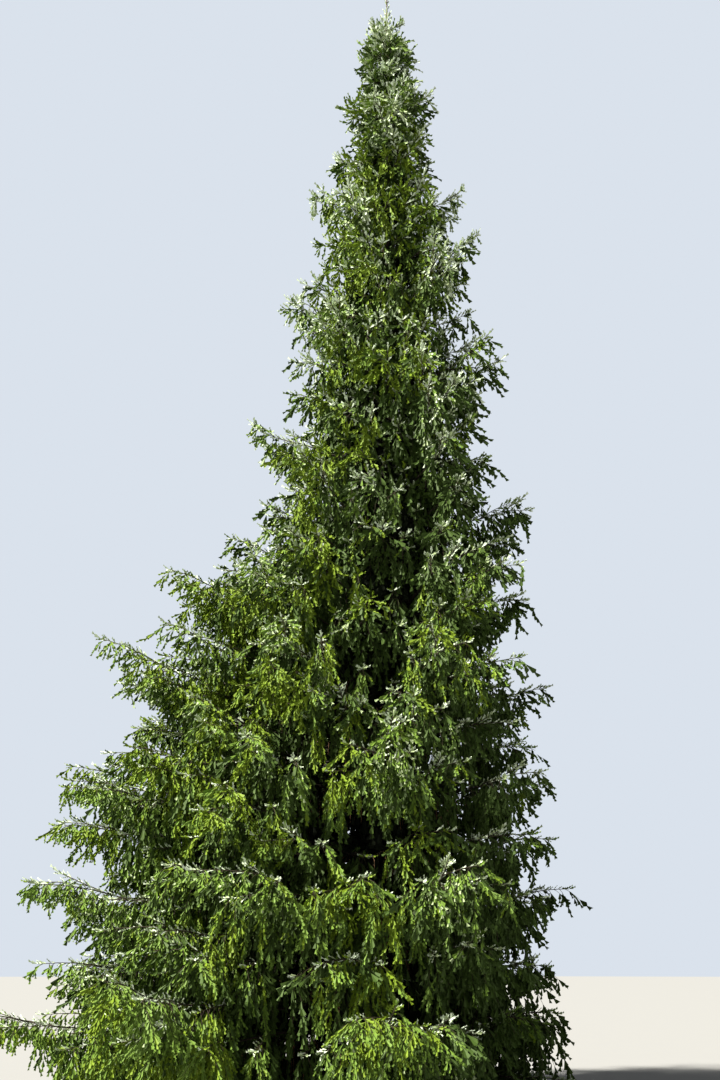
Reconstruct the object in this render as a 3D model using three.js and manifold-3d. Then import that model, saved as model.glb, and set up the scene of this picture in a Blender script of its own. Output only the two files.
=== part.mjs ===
// A whole Serbian spruce: a tapering trunk with a root flare, the main boughs of the lowest tiers,
// and one mass of twigs and needle sprays for each bough, in tiers that narrow to a spire.
// Millimetres, +Z up. The origin is the middle of the flat cut at ground level.
// +X is the right of the photograph, and -Y faces the camera.
import * as THREE from "three";
import { mergeVertices } from "three/addons/utils/BufferGeometryUtils.js";
import Module from "manifold-3d";

const wasm = await Module();
wasm.setup();
const { Manifold } = wasm;

// Driving dimensions of the whole tree
const HEIGHT = 18000; // ground to the tip of the leader
const LEAN = 160; // how far the tip stands to the right of the foot
const LEAN_POWER = 1.3;
const TRUNK_RADIUS = 205; // above the root flare
const LEADER_RADIUS = 9;
const TAPER_POWER = 0.92;
const FLARE_RADIUS = 130; // what the root flare adds at the ground
const FLARE_HEIGHT = 330;
const FLARE_LOBES = 5;
const FLARE_LOBE_SHARE = 0.34;
const TRUNK_SIDES = 12;
const TRUNK_RINGS = 15;
const RING_CROWDING = 1.9; // above 1, the trunk's rings lie closer near the ground

// The crown's outline: its reach follows the depth below the tip, and one side is longer low down
const REACH_AT_TIP = 50;
const REACH_FAR_BELOW = 3150; // the reach that the crown would tend to in a taller tree
const REACH_DEPTH = 10000; // the depth below the tip that sets how soon it widens
const REACH_UNEVENNESS = [0.93, 1.05];
const LONG_SIDE_AZIMUTH = Math.PI;
const LONG_SIDE_GROWTH = 1.86;
const LONG_SIDE_FROM = 9000; // depth below the tip where the long side begins to grow
const LONG_SIDE_OVER = 6000; // and the depth over which it reaches its full growth

// Tiers of boughs, from the ground up
const TIER_FIRST = 1250;
const TIER_GAP = 1250;
const TIER_GAP_RATIO = 0.985;
const TIER_COUNT = 15;
const BOUGH_TIERS = 3; // the lowest tiers, whose boughs are bare near the trunk
const FOUR_SECTOR_TIERS = 4;
const THREE_SECTOR_TIERS = 6;
const FOUR_SECTOR_PHASES = [-0.12, 0.3]; // how even and odd tiers are turned
const AZIMUTH_UNEVENNESS = 0.22;

// A bough's slope at the trunk and at its tip, from the ground to the top of the tree
const SLOPE_AT_TRUNK = [-0.45, 0.75];
const SLOPE_AT_TIP = [0.36, 0.7];
const BOUGH_RADIUS = 14; // of a bough without reach, at the trunk
const BOUGH_RADIUS_GROWTH = 0.011; // added per length of reach
const BOUGH_TIP_RADIUS = 15;
const BOUGH_TAPER_POWER = 0.8;
const COLLAR = 1.25; // how much thicker a bare bough is where it leaves the trunk
const BARE_SHARE = 0.24; // the part of a main bough that carries no foliage

// The space that a mass keeps to
const BAND_BELOW = 0.74; // the share of the gap to the next tier that a mass hangs down through
const BAND_MARGIN = 14;
const GROUND_CLEARANCE = 40;
const REACH_ALLOWANCE = 1.04;
const TWIG_MARGIN = 60;
const LIMB_CLEARANCE = 4;
const BLADE_GAP = 5; // between two sprays of one mass
const STEM_GAP = 0.3; // between a stem and what carries it
const CUT_ALLOWANCE = 0.03; // what a limb is made longer by, as a share of its reach, before it is cut

// Twigs
const TWIG_SPACING = 500;
const TWIG_TIP = 8; // a twig's radius at its end
const TWIG_THICKNESS = 0.45; // a twig's radius at the stem, as a share of the stem's
const TWIG_ANGLE = [1.05, 0.62]; // from the stem, at the trunk and at the tip of the bough, in radians
const TWIG_REACH = [0.42, 0.16]; // its length at the trunk and at the tip, as a share of the bough's reach
const TWIG_EXTRA = 120; // added to that length
const TWIG_DROOP = 0.08; // of its length, at its end
const TWIG_STEP = 500; // a longer twig is made of two pieces
const STEM_STEP = 700;
const PAIR_LENGTH = 700; // a longer twig carries two hanging sprays
const BARE_NEAR_TRUNK = 90;
const SHORTER = [1, 0.8, 0.62, 0.45];

// Sprays
const SPRAY_HANG = 0.66; // length of a hanging spray low down, as a share of its tier's gap
const HANG_AT_TOP = 0.66; // how much shorter it is at the top of the tree
const SPRAY_WIDTH = [0.9, 1.2]; // of a hanging spray, as a share of its length
const SPRAY_TILT = [0.2, 0.5]; // how far it leans out along its twig
const SPRAY_THICKNESS = 0.026; // as a share of its length
const THICKEST = 0.13; // where it is thickest, as a share of its length
const ROOT_SINK = 0.55; // how far its root lies behind the middle of its twig, in twig radii
const END_LENGTH = [0.95, 1.2]; // of the spray at a twig's end, as a share of a hanging one
const END_WIDTH = 0.85; // as a share of its length
const END_LIFT = [-0.25, 0.75]; // its slope against its twig's, from the ground to the top
const END_LIFT_UNEVENNESS = 0.35;
const END_ROLL = [0.2, 0.6];
const TIP_LENGTH = 1.1; // of the spray at a bough's end, as a share of a hanging one
const TIP_SHARE = 0.36; // its greatest share of the bough's reach
const SCRAP_SHARE = 0.02;

// The outline of a spray's left half: pairs of a tooth and the notch after it, each point as a share
// of the length along the spray and a share of the width across it
const FAN = [[0.5, 0.5], [0.62, 0.17]];
const CURTAIN = [[0.17, 0.4], [0.3, 0.37], [0.82, 0.5], [0.62, 0.3], [0.96, 0.2], [0.7, 0.09]];

const BARK = { color: 0x5a4636, roughness: 0.95, metalness: 0 };
const NEEDLES = { color: 0x3f5c2c, roughness: 0.8, metalness: 0 };
const UP = new THREE.Vector3(0, 0, 1);
const TURN = 2 * Math.PI;

// A repeatable stream of numbers from 0 to 1
function seeded(seed) {
  let state = seed;
  return () => {
    state = (state * 48271) % 2147483647;
    return state / 2147483647;
  };
}

const mix = (a, b, t) => a + (b - a) * t;
const smooth = (t) => {
  const s = Math.min(1, Math.max(0, t));
  return s * s * (3 - 2 * s);
};
const wrapped = (angle) => angle - TURN * Math.round(angle / TURN);

// The trunk's centre at height z, and its radius there
const axisAt = (z) => new THREE.Vector3(LEAN * (z / HEIGHT) ** LEAN_POWER, 0, z);
const trunkRadius = (z) => mix(LEADER_RADIUS, TRUNK_RADIUS, (1 - z / HEIGHT) ** TAPER_POWER);

function flareAt(z, angle) {
  const lobes = 1 + FLARE_LOBE_SHARE * Math.cos(FLARE_LOBES * angle + 0.7);
  return FLARE_RADIUS * Math.exp(-z / FLARE_HEIGHT) * lobes;
}

// How far the crown reaches at a height, towards an azimuth
function crownReach(height, azimuth) {
  const depth = HEIGHT - height;
  const reach = REACH_AT_TIP + REACH_FAR_BELOW * (1 - Math.exp(-depth / REACH_DEPTH));
  const facing = 0.5 + 0.5 * Math.cos(azimuth - LONG_SIDE_AZIMUTH);
  const grown = smooth((depth - LONG_SIDE_FROM) / LONG_SIDE_OVER) * facing ** 2;
  return reach * mix(1, LONG_SIDE_GROWTH, grown);
}

// The height, at distance r towards an azimuth, of a bough that leaves the trunk at height attach
function boughHeight(attach, r, azimuth) {
  const reach = crownReach(attach, azimuth);
  const atTrunk = mix(...SLOPE_AT_TRUNK, attach / HEIGHT);
  const atTip = mix(...SLOPE_AT_TIP, attach / HEIGHT);
  const t = r / reach;
  return attach + reach * (atTrunk * t + ((atTip - atTrunk) * t * t) / 2);
}

function onBoughSurface(attach, r, azimuth) {
  const z = boughHeight(attach, r, azimuth);
  return axisAt(z).add(new THREE.Vector3(r * Math.cos(azimuth), r * Math.sin(azimuth), 0));
}

// The distance and the azimuth of a point from the trunk's axis
function aroundTrunk(point) {
  const foot = axisAt(point.z);
  const [x, y] = [point.x - foot.x, point.y - foot.y];
  return [Math.hypot(x, y), Math.atan2(y, x)];
}

// The tiers, with the height of each, the gap above it and the number of boughs in it
function tierTable() {
  const tiers = [];
  let height = TIER_FIRST;
  let gap = TIER_GAP;
  for (let index = 0; index < TIER_COUNT; index++) {
    const inFours = index < FOUR_SECTOR_TIERS;
    const inThrees = index < FOUR_SECTOR_TIERS + THREE_SECTOR_TIERS;
    const count = inFours ? 4 : inThrees ? 3 : 2;
    const halfTurn = index % 2 ? Math.PI / count : 0;
    const phase = inFours ? FOUR_SECTOR_PHASES[index % 2] : halfTurn;
    tiers.push({ index, height, gap, count, phase, low: height - BAND_BELOW * gap });
    height += gap;
    gap *= TIER_GAP_RATIO;
  }
  return tiers;
}

// The boughs of every tier, with a seeded unevenness: azimuth, reach without the spray at the end,
// length of that spray and of the hanging ones, sector and band
function boughTable(tiers) {
  const random = seeded(71);
  return tiers.flatMap((tier) =>
    Array.from({ length: tier.count }, (_, k) => {
      const centre = Math.PI + tier.phase + (TURN * k) / tier.count;
      const azimuth = wrapped(centre + AZIMUTH_UNEVENNESS * (random() - 0.5));
      const outer = crownReach(tier.height, azimuth) * mix(...REACH_UNEVENNESS, random());
      const high = tier.height / HEIGHT;
      const hang = SPRAY_HANG * tier.gap * mix(1, HANG_AT_TOP, high);
      const end = Math.min(TIP_LENGTH * hang, TIP_SHARE * outer);
      const reach = outer - 0.8 * end;
      const top = tiers[tier.index + 1]?.low ?? HEIGHT;
      const sector = Math.PI / tier.count;
      return { tier, k, centre, azimuth, reach, end, hang, high, sector, low: tier.low, top };
    }),
  );
}

// A closed mesh becomes a solid
function solidOf(points, faces) {
  const positions = points.flatMap((p) => [p.x, p.y, p.z]);
  const geometry = new THREE.BufferGeometry();
  geometry.setAttribute("position", new THREE.Float32BufferAttribute(positions, 3));
  geometry.setIndex(faces);
  const merged = mergeVertices(geometry, 1e-3);
  const mesh = new wasm.Mesh({
    numProp: 3,
    vertProperties: merged.attributes.position.array,
    triVerts: new Uint32Array(merged.index.array),
  });
  return new Manifold(mesh);
}

function geometryOf(solid) {
  const mesh = solid.getMesh();
  const geometry = new THREE.BufferGeometry();
  const positions = new Float32Array(mesh.numVert * 3);
  for (let i = 0; i < mesh.numVert; i++) {
    positions.set(mesh.vertProperties.subarray(i * mesh.numProp, i * mesh.numProp + 3), i * 3);
  }
  geometry.setAttribute("position", new THREE.BufferAttribute(positions, 3));
  geometry.setIndex(new THREE.BufferAttribute(mesh.triVerts, 1));
  geometry.computeVertexNormals();
  return geometry;
}

const largestBody = (solid) => solid.decompose().sort((a, b) => b.volume() - a.volume())[0];

// The faces of a toothed blade. Its outline runs from the root round the left teeth, the tip and the
// right teeth back to the root; the peak is the top of its ridge. The back is a row of strips from
// notch to notch, with a triangle for each tooth.
function bladeFaces(outline, peak) {
  const ridged = outline.slice(1).flatMap((point, i) => [point, outline[i], peak]);
  const last = outline.length - 1;
  const back = [];
  for (let i = 0; i + 2 < outline.length / 2; i += 2) {
    const [a, tooth, notch] = outline.slice(i, i + 3);
    const [otherNotch, otherTooth, b] = outline.slice(last - i - 2, last - i + 1);
    back.push(a, tooth, notch, b, otherNotch, otherTooth, a, notch, otherNotch);
    if (a !== b) back.push(a, otherNotch, b);
  }
  const tip = outline.length >> 1;
  back.push(outline[tip - 1], outline[tip], outline[tip + 1]);
  return [...ridged, ...back];
}

// The points of a blade's outline, without its root
function bladeOutline({ root, along, side, length, width, teeth }) {
  const at = ([u, w]) => root.clone().addScaledVector(along, u * length).addScaledVector(side, w * width);
  const right = teeth.map(([u, w]) => [u, -w]).reverse();
  return [...teeth, [1, 0], ...right].map(at);
}

// Rings of points joined into a closed skin, with a flat fan at its start, and at its end either
// such a fan or the blade of a spray. A blade grows from a ring of three points: top, right, left.
function skin(rings, blade) {
  const sides = rings[0].length;
  const faces = [];
  for (let j = 0; j + 1 < rings.length; j++) {
    for (let i = 0; i < sides; i++) {
      const a = j * sides + i;
      const b = j * sides + ((i + 1) % sides);
      faces.push(a, b, b + sides, a, b + sides, a + sides);
    }
  }
  const last = (rings.length - 1) * sides;
  for (let i = 1; i + 1 < sides; i++) {
    faces.push(0, i + 1, i);
    if (!blade) faces.push(last, last + i, last + i + 1);
  }
  if (blade) {
    const outline = [last + 2, ...blade.map((_, i) => last + 3 + i), last + 1];
    faces.push(...bladeFaces(outline, last));
  }
  return solidOf([...rings.flat(), ...(blade ?? [])], faces);
}

// A tapering limb along a three.js curve, whose end may carry a spray
function limb({ curve, from, to, sides, steps, end = null }) {
  let blade = null;
  const rings = Array.from({ length: steps + 1 }, (_, j) => {
    const t = j / steps;
    const centre = curve.getPoint(t);
    const along = curve.getTangent(t);
    const roll = end ? end.roll * t : 0;
    const across = new THREE.Vector3().crossVectors(along, UP).normalize().applyAxisAngle(along, roll);
    const over = new THREE.Vector3().crossVectors(across, along);
    const radius = mix(from, to, t);
    if (end && j === steps) {
      const root = centre.clone().addScaledVector(over, -radius / 2);
      const forward = along.clone().addScaledVector(UP, end.lift);
      forward.addScaledVector(across, -forward.dot(across)).normalize();
      blade = bladeOutline({ ...end, root, along: forward, side: across.clone().negate() });
    }
    return Array.from({ length: sides }, (_, i) => {
      const angle = Math.PI / 2 - (TURN * i) / sides;
      return centre
        .clone()
        .addScaledVector(across, radius * Math.cos(angle))
        .addScaledVector(over, radius * Math.sin(angle));
    });
  });
  return { solid: skin(rings, blade), points: [curve.getPoint(1), ...(blade ?? [])] };
}

// A point on the straight pieces that a limb is made of
function onLimb(curve, steps, t) {
  const j = Math.min(steps - 1, Math.floor(t * steps));
  return curve.getPoint(j / steps).lerp(curve.getPoint((j + 1) / steps), t * steps - j);
}

// A spray of needle-covered shoots that hangs from a twig, with its root inside the twig
function hangingSpray({ middle, radius, along, across, length, width }) {
  const root = middle.clone().addScaledVector(along, -ROOT_SINK * radius);
  const side = across.clone().addScaledVector(along, -across.dot(along)).normalize();
  const normal = new THREE.Vector3().crossVectors(along, side);
  const outline = bladeOutline({ root, along, side, length, width, teeth: CURTAIN });
  const peak = root
    .clone()
    .addScaledVector(along, THICKEST * length)
    .addScaledVector(normal, SPRAY_THICKNESS * length);
  const points = [root, ...outline, peak];
  const order = [0, ...outline.map((_, i) => i + 1), 0];
  return { solid: solidOf(points, bladeFaces(order, points.length - 1)), points };
}

// Whether a point lies in the space that a bough's mass keeps to
function insideSpace(bough, point, margin = BAND_MARGIN) {
  const [r, azimuth] = aroundTrunk(point);
  const inward = bough.sector - Math.abs(wrapped(azimuth - bough.centre));
  if (r * Math.sin(Math.min(Math.PI / 2, inward)) < margin) return false;
  if (point.z < GROUND_CLEARANCE || point.z > HEIGHT) return false;
  if (point.z < boughHeight(bough.low, r, azimuth) + margin) return false;
  if (bough.top < HEIGHT && point.z > boughHeight(bough.top, r, azimuth) - margin) return false;
  return r < crownReach(bough.tier.height, azimuth) * REACH_ALLOWANCE;
}

// The line of a bough over part of its reach, and the bough's radius along it
function boughCurve(bough, from, to, steps) {
  const points = Array.from({ length: steps + 1 }, (_, j) => {
    const t = mix(from, to, j / steps);
    return onBoughSurface(bough.tier.height, t * bough.reach, bough.azimuth);
  });
  return new THREE.CatmullRomCurve3(points);
}

function boughRadius(bough, t) {
  return mix(BOUGH_RADIUS + BOUGH_RADIUS_GROWTH * bough.reach, BOUGH_TIP_RADIUS, t ** BOUGH_TAPER_POWER);
}

// The plane across a main bough where its bare part ends
function bareEnd(bough) {
  const at = (t) => onBoughSurface(bough.tier.height, t * bough.reach, bough.azimuth);
  const normal = at(BARE_SHARE + 0.001).sub(at(BARE_SHARE - 0.001)).normalize();
  return { normal, offset: normal.dot(at(BARE_SHARE)) };
}

// The line of a twig: straight out from the stem, at the height of the bough's surface less its droop
function twigCurve(bough, base, way, length) {
  const pointAt = (s) => {
    const p = base.clone().addScaledVector(way, s * length);
    p.z = boughHeight(bough.tier.height, ...aroundTrunk(p)) - TWIG_DROOP * length * s * s;
    return p;
  };
  return new THREE.QuadraticBezierCurve3(base, pointAt(0.5), pointAt(1));
}

// The wood that a mass may have, each piece with the sprays that hang from it: first the stem with
// the spray at its tip, then the twigs. Each piece of wood and each spray is a list of choices, the
// largest first, and each choice has the points that must keep to the mass's space.
function growth(bough, start, stem) {
  const random = seeded(1009 + 97 * bough.tier.index + 13 * bough.k);
  const { azimuth, reach, hang, high } = bough;
  const outward = (turn) => new THREE.Vector3(Math.cos(azimuth + turn), Math.sin(azimuth + turn), 0);
  const onStem = (t) => onLimb(stem.curve, stem.steps, (t - stem.from) / (1 - stem.from));

  const hanging = (middle, radius, way) => {
    const along = UP.clone().negate().addScaledVector(way, mix(...SPRAY_TILT, random())).normalize();
    const across = way.clone().applyAxisAngle(UP, random() - 0.5);
    const length = hang * mix(0.78, 1, random());
    const width = length * mix(...SPRAY_WIDTH, random());
    return SHORTER.map((share) =>
      hangingSpray({ middle, radius, along, across, length: length * share, width: width * share }),
    );
  };
  const endings = (length) => {
    const lift = mix(...END_LIFT, high) + END_LIFT_UNEVENNESS * random();
    const roll = (random() < 0.5 ? -1 : 1) * mix(...END_ROLL, random());
    const fans = SHORTER.map((share) => {
      return { length: length * share, width: END_WIDTH * length * share, teeth: FAN, lift, roll };
    });
    return [...fans, null];
  };

  const ends = { from: boughRadius(bough, stem.from), to: boughRadius(bough, 1) };
  const stems = endings(bough.end).map((end) => limb({ ...stem, ...ends, sides: 3, end }));
  const main = { wood: stems, sprays: [] };
  const grown = [main];
  const count = Math.max(3, Math.round(((1 - start) * reach) / TWIG_SPACING));
  for (let i = 0; i < count; i++) {
    const t = mix(start + 0.04, 0.93, (i + 0.5) / count);
    const side = i % 2 ? 1 : -1;
    const way = outward(side * mix(...TWIG_ANGLE, t) * mix(0.85, 1.15, random()));
    const base = onStem(t);
    const widest = Math.min(TWIG_REACH[0] * reach, t * reach * Math.sin(bough.sector));
    const wanted = mix(widest, TWIG_REACH[1] * reach, t) * mix(0.85, 1.15, random()) + TWIG_EXTRA;
    const cut = SHORTER.find((share) =>
      insideSpace(bough, base.clone().addScaledVector(way, wanted * share), TWIG_MARGIN),
    );
    if (cut) {
      const length = wanted * cut;
      const curve = twigCurve(bough, base, way, length);
      const steps = length > TWIG_STEP ? 2 : 1;
      const from = Math.max(TWIG_TIP, TWIG_THICKNESS * boughRadius(bough, t));
      const wood = endings(hang * mix(...END_LENGTH, random())).map((end) =>
        limb({ curve, from, to: TWIG_TIP, sides: 3, steps, end }),
      );
      const places = length > PAIR_LENGTH ? [0.72, 0.34] : [0.65];
      const sprays = places.map((s) => hanging(onLimb(curve, steps, s), mix(from, TWIG_TIP, s), way));
      grown.push({ wood, sprays });
    }
    if (i % 2) {
      const under = Math.min(0.97, t + 0.4 / count);
      main.sprays.push(hanging(onStem(under), boughRadius(bough, under), outward(Math.PI / 2)));
    }
  }
  return grown;
}

// Fuses a mass from its stem and whatever of its growth keeps to its space and clear of the limbs
function massSolid(bough, isBare, limbs, trunkSkin) {
  const start = isBare ? BARE_SHARE : 0;
  const from = isBare ? BARE_SHARE - CUT_ALLOWANCE : 0;
  const steps = Math.max(3, Math.round((bough.reach * (1 - start)) / STEM_STEP));
  const curve = boughCurve(bough, from, 1, steps);
  const growFrom = Math.max(start, (trunkRadius(bough.tier.height) + BARE_NEAR_TRUNK) / bough.reach);
  const keeps = ({ points }) => points.every((p) => insideSpace(bough, p));
  const clears = ({ solid }, others, gap) => others.every((other) => solid.minGap(other, 2 * gap) >= gap);
  const fits = (piece) => keeps(piece) && clears(piece, limbs, LIMB_CLEARANCE);

  const [main, ...twigs] = growth(bough, growFrom, { curve, steps, from });
  const stem = main.wood.find(keeps).solid;
  const { normal, offset } = bareEnd(bough);
  const cutStem = isBare ? stem.trimByPlane(normal.toArray(), offset + STEM_GAP) : stem;
  const grown = twigs
    .map(({ wood, sprays }) => ({ wood: wood.find(fits)?.solid, sprays }))
    .filter(({ wood }) => wood);
  const all = [{ wood: cutStem, sprays: main.sprays }, ...grown];
  const blades = [];
  all.forEach(({ wood, sprays }) => {
    sprays.forEach((choices) => {
      const others = [...all.map((other) => other.wood).filter((other) => other !== wood), ...blades];
      const spray = choices.find((piece) => fits(piece) && clears(piece, others, BLADE_GAP));
      if (spray) blades.push(spray.solid);
    });
  });
  const fused = Manifold.union([...all.map(({ wood }) => wood), ...blades]);
  const cut = isBare ? fused : fused.subtract(trunkSkin);
  const mass = largestBody(cut.simplify(0.05));
  if (mass.volume() < (1 - SCRAP_SHARE) * cut.volume()) {
    throw new Error("a large piece of tier " + bough.tier.index + " is loose");
  }
  return mass;
}

// The trunk, from the flat cut to the tip of the leader
function trunkSolid(extra = 0) {
  const rings = Array.from({ length: TRUNK_RINGS + 1 }, (_, j) => {
    const z = HEIGHT * (j / TRUNK_RINGS) ** RING_CROWDING;
    return Array.from({ length: TRUNK_SIDES }, (_, i) => {
      const angle = (TURN * i) / TRUNK_SIDES;
      const radius = trunkRadius(z) + flareAt(z, angle) + extra;
      return axisAt(z).add(new THREE.Vector3(radius * Math.cos(angle), radius * Math.sin(angle), 0));
    });
  });
  return skin(rings);
}

// The bare part of a main bough, cut flat where its mass begins
function boughSolid(bough, trunkSkin) {
  const steps = 3;
  const curve = boughCurve(bough, 0, BARE_SHARE + CUT_ALLOWANCE, steps);
  const from = boughRadius(bough, 0) * COLLAR;
  const made = limb({ curve, from, to: boughRadius(bough, BARE_SHARE), sides: 6, steps });
  const { normal, offset } = bareEnd(bough);
  const cut = made.solid.trimByPlane(normal.negate().toArray(), -offset);
  return largestBody(cut.subtract(trunkSkin));
}

const tree = new THREE.Group();

function addNode(name, solid, look) {
  const mesh = new THREE.Mesh(geometryOf(solid), new THREE.MeshStandardMaterial(look));
  mesh.name = name;
  tree.add(mesh);
}

const nameOf = (kind, bough) => kind + "_" + String(bough.tier.index + 1).padStart(2, "0") + "abcd"[bough.k];
const isBare = (bough) => bough.tier.index < BOUGH_TIERS;

const boughs = boughTable(tierTable());
const trunkSkin = trunkSolid(STEM_GAP);
addNode("trunk", trunkSolid(), BARK);
const limbs = [trunkSkin];
boughs.filter(isBare).forEach((bough) => {
  const solid = boughSolid(bough, trunkSkin);
  limbs.push(solid);
  addNode(nameOf("bough", bough), solid, BARK);
});
boughs.forEach((bough) => {
  addNode(nameOf("foliage", bough), massSolid(bough, isBare(bough), limbs, trunkSkin), NEEDLES);
});

export default tree;
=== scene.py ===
"""Serbian spruce: bark, boughs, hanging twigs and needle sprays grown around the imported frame."""

import collections
import functools
import math

import bpy
import numpy as np
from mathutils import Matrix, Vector


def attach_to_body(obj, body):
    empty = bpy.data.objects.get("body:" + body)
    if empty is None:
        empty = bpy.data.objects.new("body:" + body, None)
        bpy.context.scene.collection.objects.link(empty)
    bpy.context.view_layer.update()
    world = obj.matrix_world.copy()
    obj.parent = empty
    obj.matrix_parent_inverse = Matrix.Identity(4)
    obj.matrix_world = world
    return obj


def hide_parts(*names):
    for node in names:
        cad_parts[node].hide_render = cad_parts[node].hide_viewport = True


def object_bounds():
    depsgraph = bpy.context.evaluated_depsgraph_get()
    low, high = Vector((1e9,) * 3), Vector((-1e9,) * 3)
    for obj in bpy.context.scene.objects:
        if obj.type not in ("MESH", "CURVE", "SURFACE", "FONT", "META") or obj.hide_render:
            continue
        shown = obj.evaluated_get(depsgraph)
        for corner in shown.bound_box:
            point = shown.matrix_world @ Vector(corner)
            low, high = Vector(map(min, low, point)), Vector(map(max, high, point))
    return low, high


bl_info = {
    "name": "Serbian spruce",
    "version": (1, 0, 0),
    "blender": (4, 5, 0),
    "location": "View3D > Sidebar > Spruce",
    "description": "Grows the bark, boughs, hanging twigs and needle sprays of a Serbian spruce",
    "category": "Add Mesh",
}

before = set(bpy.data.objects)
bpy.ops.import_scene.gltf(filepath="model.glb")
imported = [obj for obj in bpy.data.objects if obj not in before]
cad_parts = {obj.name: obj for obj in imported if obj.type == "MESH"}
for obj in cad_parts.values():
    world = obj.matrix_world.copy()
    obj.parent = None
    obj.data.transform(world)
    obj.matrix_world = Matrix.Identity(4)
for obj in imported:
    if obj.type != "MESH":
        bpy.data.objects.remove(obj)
CAD_BOX = [list(corner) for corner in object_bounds()]
BODY = "root"
TURN = 2 * math.pi
UP = np.array([0.0, 0.0, 1.0])
FLAT = np.array([1.0, 1.0, 0.0])
TINY = 1e-6
NO_LENGTH = 1e-9
STEEP = 0.95
SIZE_DIGITS = 6

# All lengths are in metres and all angles in radians. A pair gives a value's two ends. A ramp is a
# start and a span.

# The crown's rule, as in the part's source
HEIGHT = 18.0
LEAN = 0.16
LEAN_POWER = 1.3
TRUNK_RADIUS = 0.205
LEADER_RADIUS = 0.009
TAPER_POWER = 0.92
FLARE_RADIUS = 0.13
FLARE_HEIGHT = 0.33
FLARE_LOBES = 5
FLARE_LOBE_SHARE = 0.34
FLARE_TURN = 0.7
REACH_AT_TIP = 0.05
REACH_FAR_BELOW = 3.15
REACH_DEPTH = 10.0
REACH_UNEVENNESS = (0.93, 1.05)
LONG_SIDE_AZIMUTH = math.pi
LONG_SIDE_GROWTH = 1.86
LONG_SIDE = (9.0, 6.0)
TIER_FIRST = 1.25
TIER_GAP = 1.25
TIER_GAP_RATIO = 0.985
TIER_COUNT = 15
FOUR_SECTOR_TIERS = 4
THREE_SECTOR_TIERS = 6
FOUR_SECTOR_PHASES = (-0.12, 0.3)
AZIMUTH_UNEVENNESS = 0.22
SLOPE_AT_TRUNK = (-0.45, 0.75)
SLOPE_AT_TIP = (0.36, 0.7)
BOUGH_RADIUS = 0.014
BOUGH_RADIUS_GROWTH = 0.011
BOUGH_TIP_RADIUS = 0.005
BOUGH_TAPER_POWER = 0.36
TWIG_ANGLE = (1.05, 0.62)
TWIG_REACH = (0.42, 0.16)
TWIG_EXTRA = 0.12
TWIG_DROOP = (0.22, 0.08)
GROUND_CLEARANCE = 0.04
TABLE_SEED = 71

# Lesser boughs between the source's. Each level has its rise above a tier and its looseness, as
# shares of the gap between tiers, with its share of the crown's reach between them.
LOWEST_LEVEL = (-0.45, 0.92, 0.2)
INFILL_LEVELS = ((0, 0.97, 0.08), (0.5, 0.9, 0.2))
SKIRT_LEVELS = ((0.25, 0.94, 0.15), (0.75, 0.9, 0.15))
SKIRT_HEIGHTS = (1.0, 6.5)
SKIRT_FACING = 0.55
SAME_LEVEL = 0.05
FEWEST_AROUND = 5
SHORT_SIDE_AZIMUTH = 1.2
# A dark cleft in the front of the crown, which has no lesser boughs
CLEFT_AZIMUTH = math.radians(-78)
CLEFT_HALF_WIDTH = math.radians(11)
CLEFT_HEIGHTS = (4.4, 7.2)
# Reach of lesser boughs from the ground to the top, in the spire, and of short ones inside the crown
SHORTEST_LESSER = (0.84, 0.62)
LONGEST_LESSER = (1.05, 0.98)
SPIRE = (14.6, 2.2)
SPIRE_SHARE = 0.5
LEADER_BARE = 1.0
INNER_FROM = 1.2
INNER_SPACING = 0.1
INNER_SHARE = (0.26, 0.4)
INNER_UNEVENNESS = (0.8, 1.5)
FOLIAGE_FROM = 0.08
SKIRT_FOLIAGE_FROM = 0.46
LESSER_WOOD = 0.7

# Levels of shorter boughs: height, half height, share cut off the long side and off the other side
DIPS = (
    (1.25, 0.5, 0.0, 0.14),
    (2.5, 0.35, 0.1, 0.0),
    (4.0, 1.8, 0.0, 0.09),
    (6.75, 0.55, 0.13, 0.0),
    (15.1, 0.4, 0.24, 0.24),
)

# The lines of boughs, side twigs and hanging twigs. Boughs stop short of the crown's reach to leave
# room for the shoots on their ends, and the source's own boughs less so high up, as spikes.
BOUGH_STEPS = 14
TWIG_STEPS = 4
STRAND_STEPS = 5
BOUGH_DRIFT = 0.22
BOUGH_ROOTED = 0.6
SHORT_OF_REACH = (0.22, 0.15)
SHORT_AT_MOST = 0.4
SPIKES = (0.4, 0.25)
SPIKE_SHARE = 0.6
SWAY = 0.012
SWAY_WAVES = (10, 16)
CLEAR_AT_TRUNK = 0.18
TWIGS_FROM = 0.16
TWIGS_OFF_TRUNK = 0.1
TWIGS_BEGIN = (0.12, 0.5)
TWIGS_END = 0.95
FEWEST_TWIGS = 3
TWIG_TURN_UNEVENNESS = (0.85, 1.15)
TWIG_UNEVENNESS = (0.75, 1.15)
TWIG_LONGEST = 1.15
TWIG_CLOSENESS = 0.9
TWIG_BEND = 0.35
TWIG_CLEARANCE = 0.06
TWIG_FOLIAGE_FROM = 0.1
TWIG_GROWTH = 0.12
LIMBS_END = 0.97
STRANDS_LOOSEN = (0.95, 1.35)
STRAND_LEAD = (0.35, 0.9)
STRAND_UNEVENNESS = (0.55, 1.3)
STRANDS_INWARD = (0.42, 1.0)
STRANDS_AT_TIP = (1.0, 0.4)
INNER_HALF = (0, 0.5)
STRAND_LEAST = 0.06
STRAND_ABOVE_GROUND = 0.1
STRAND_LIFT = 0.012
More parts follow.
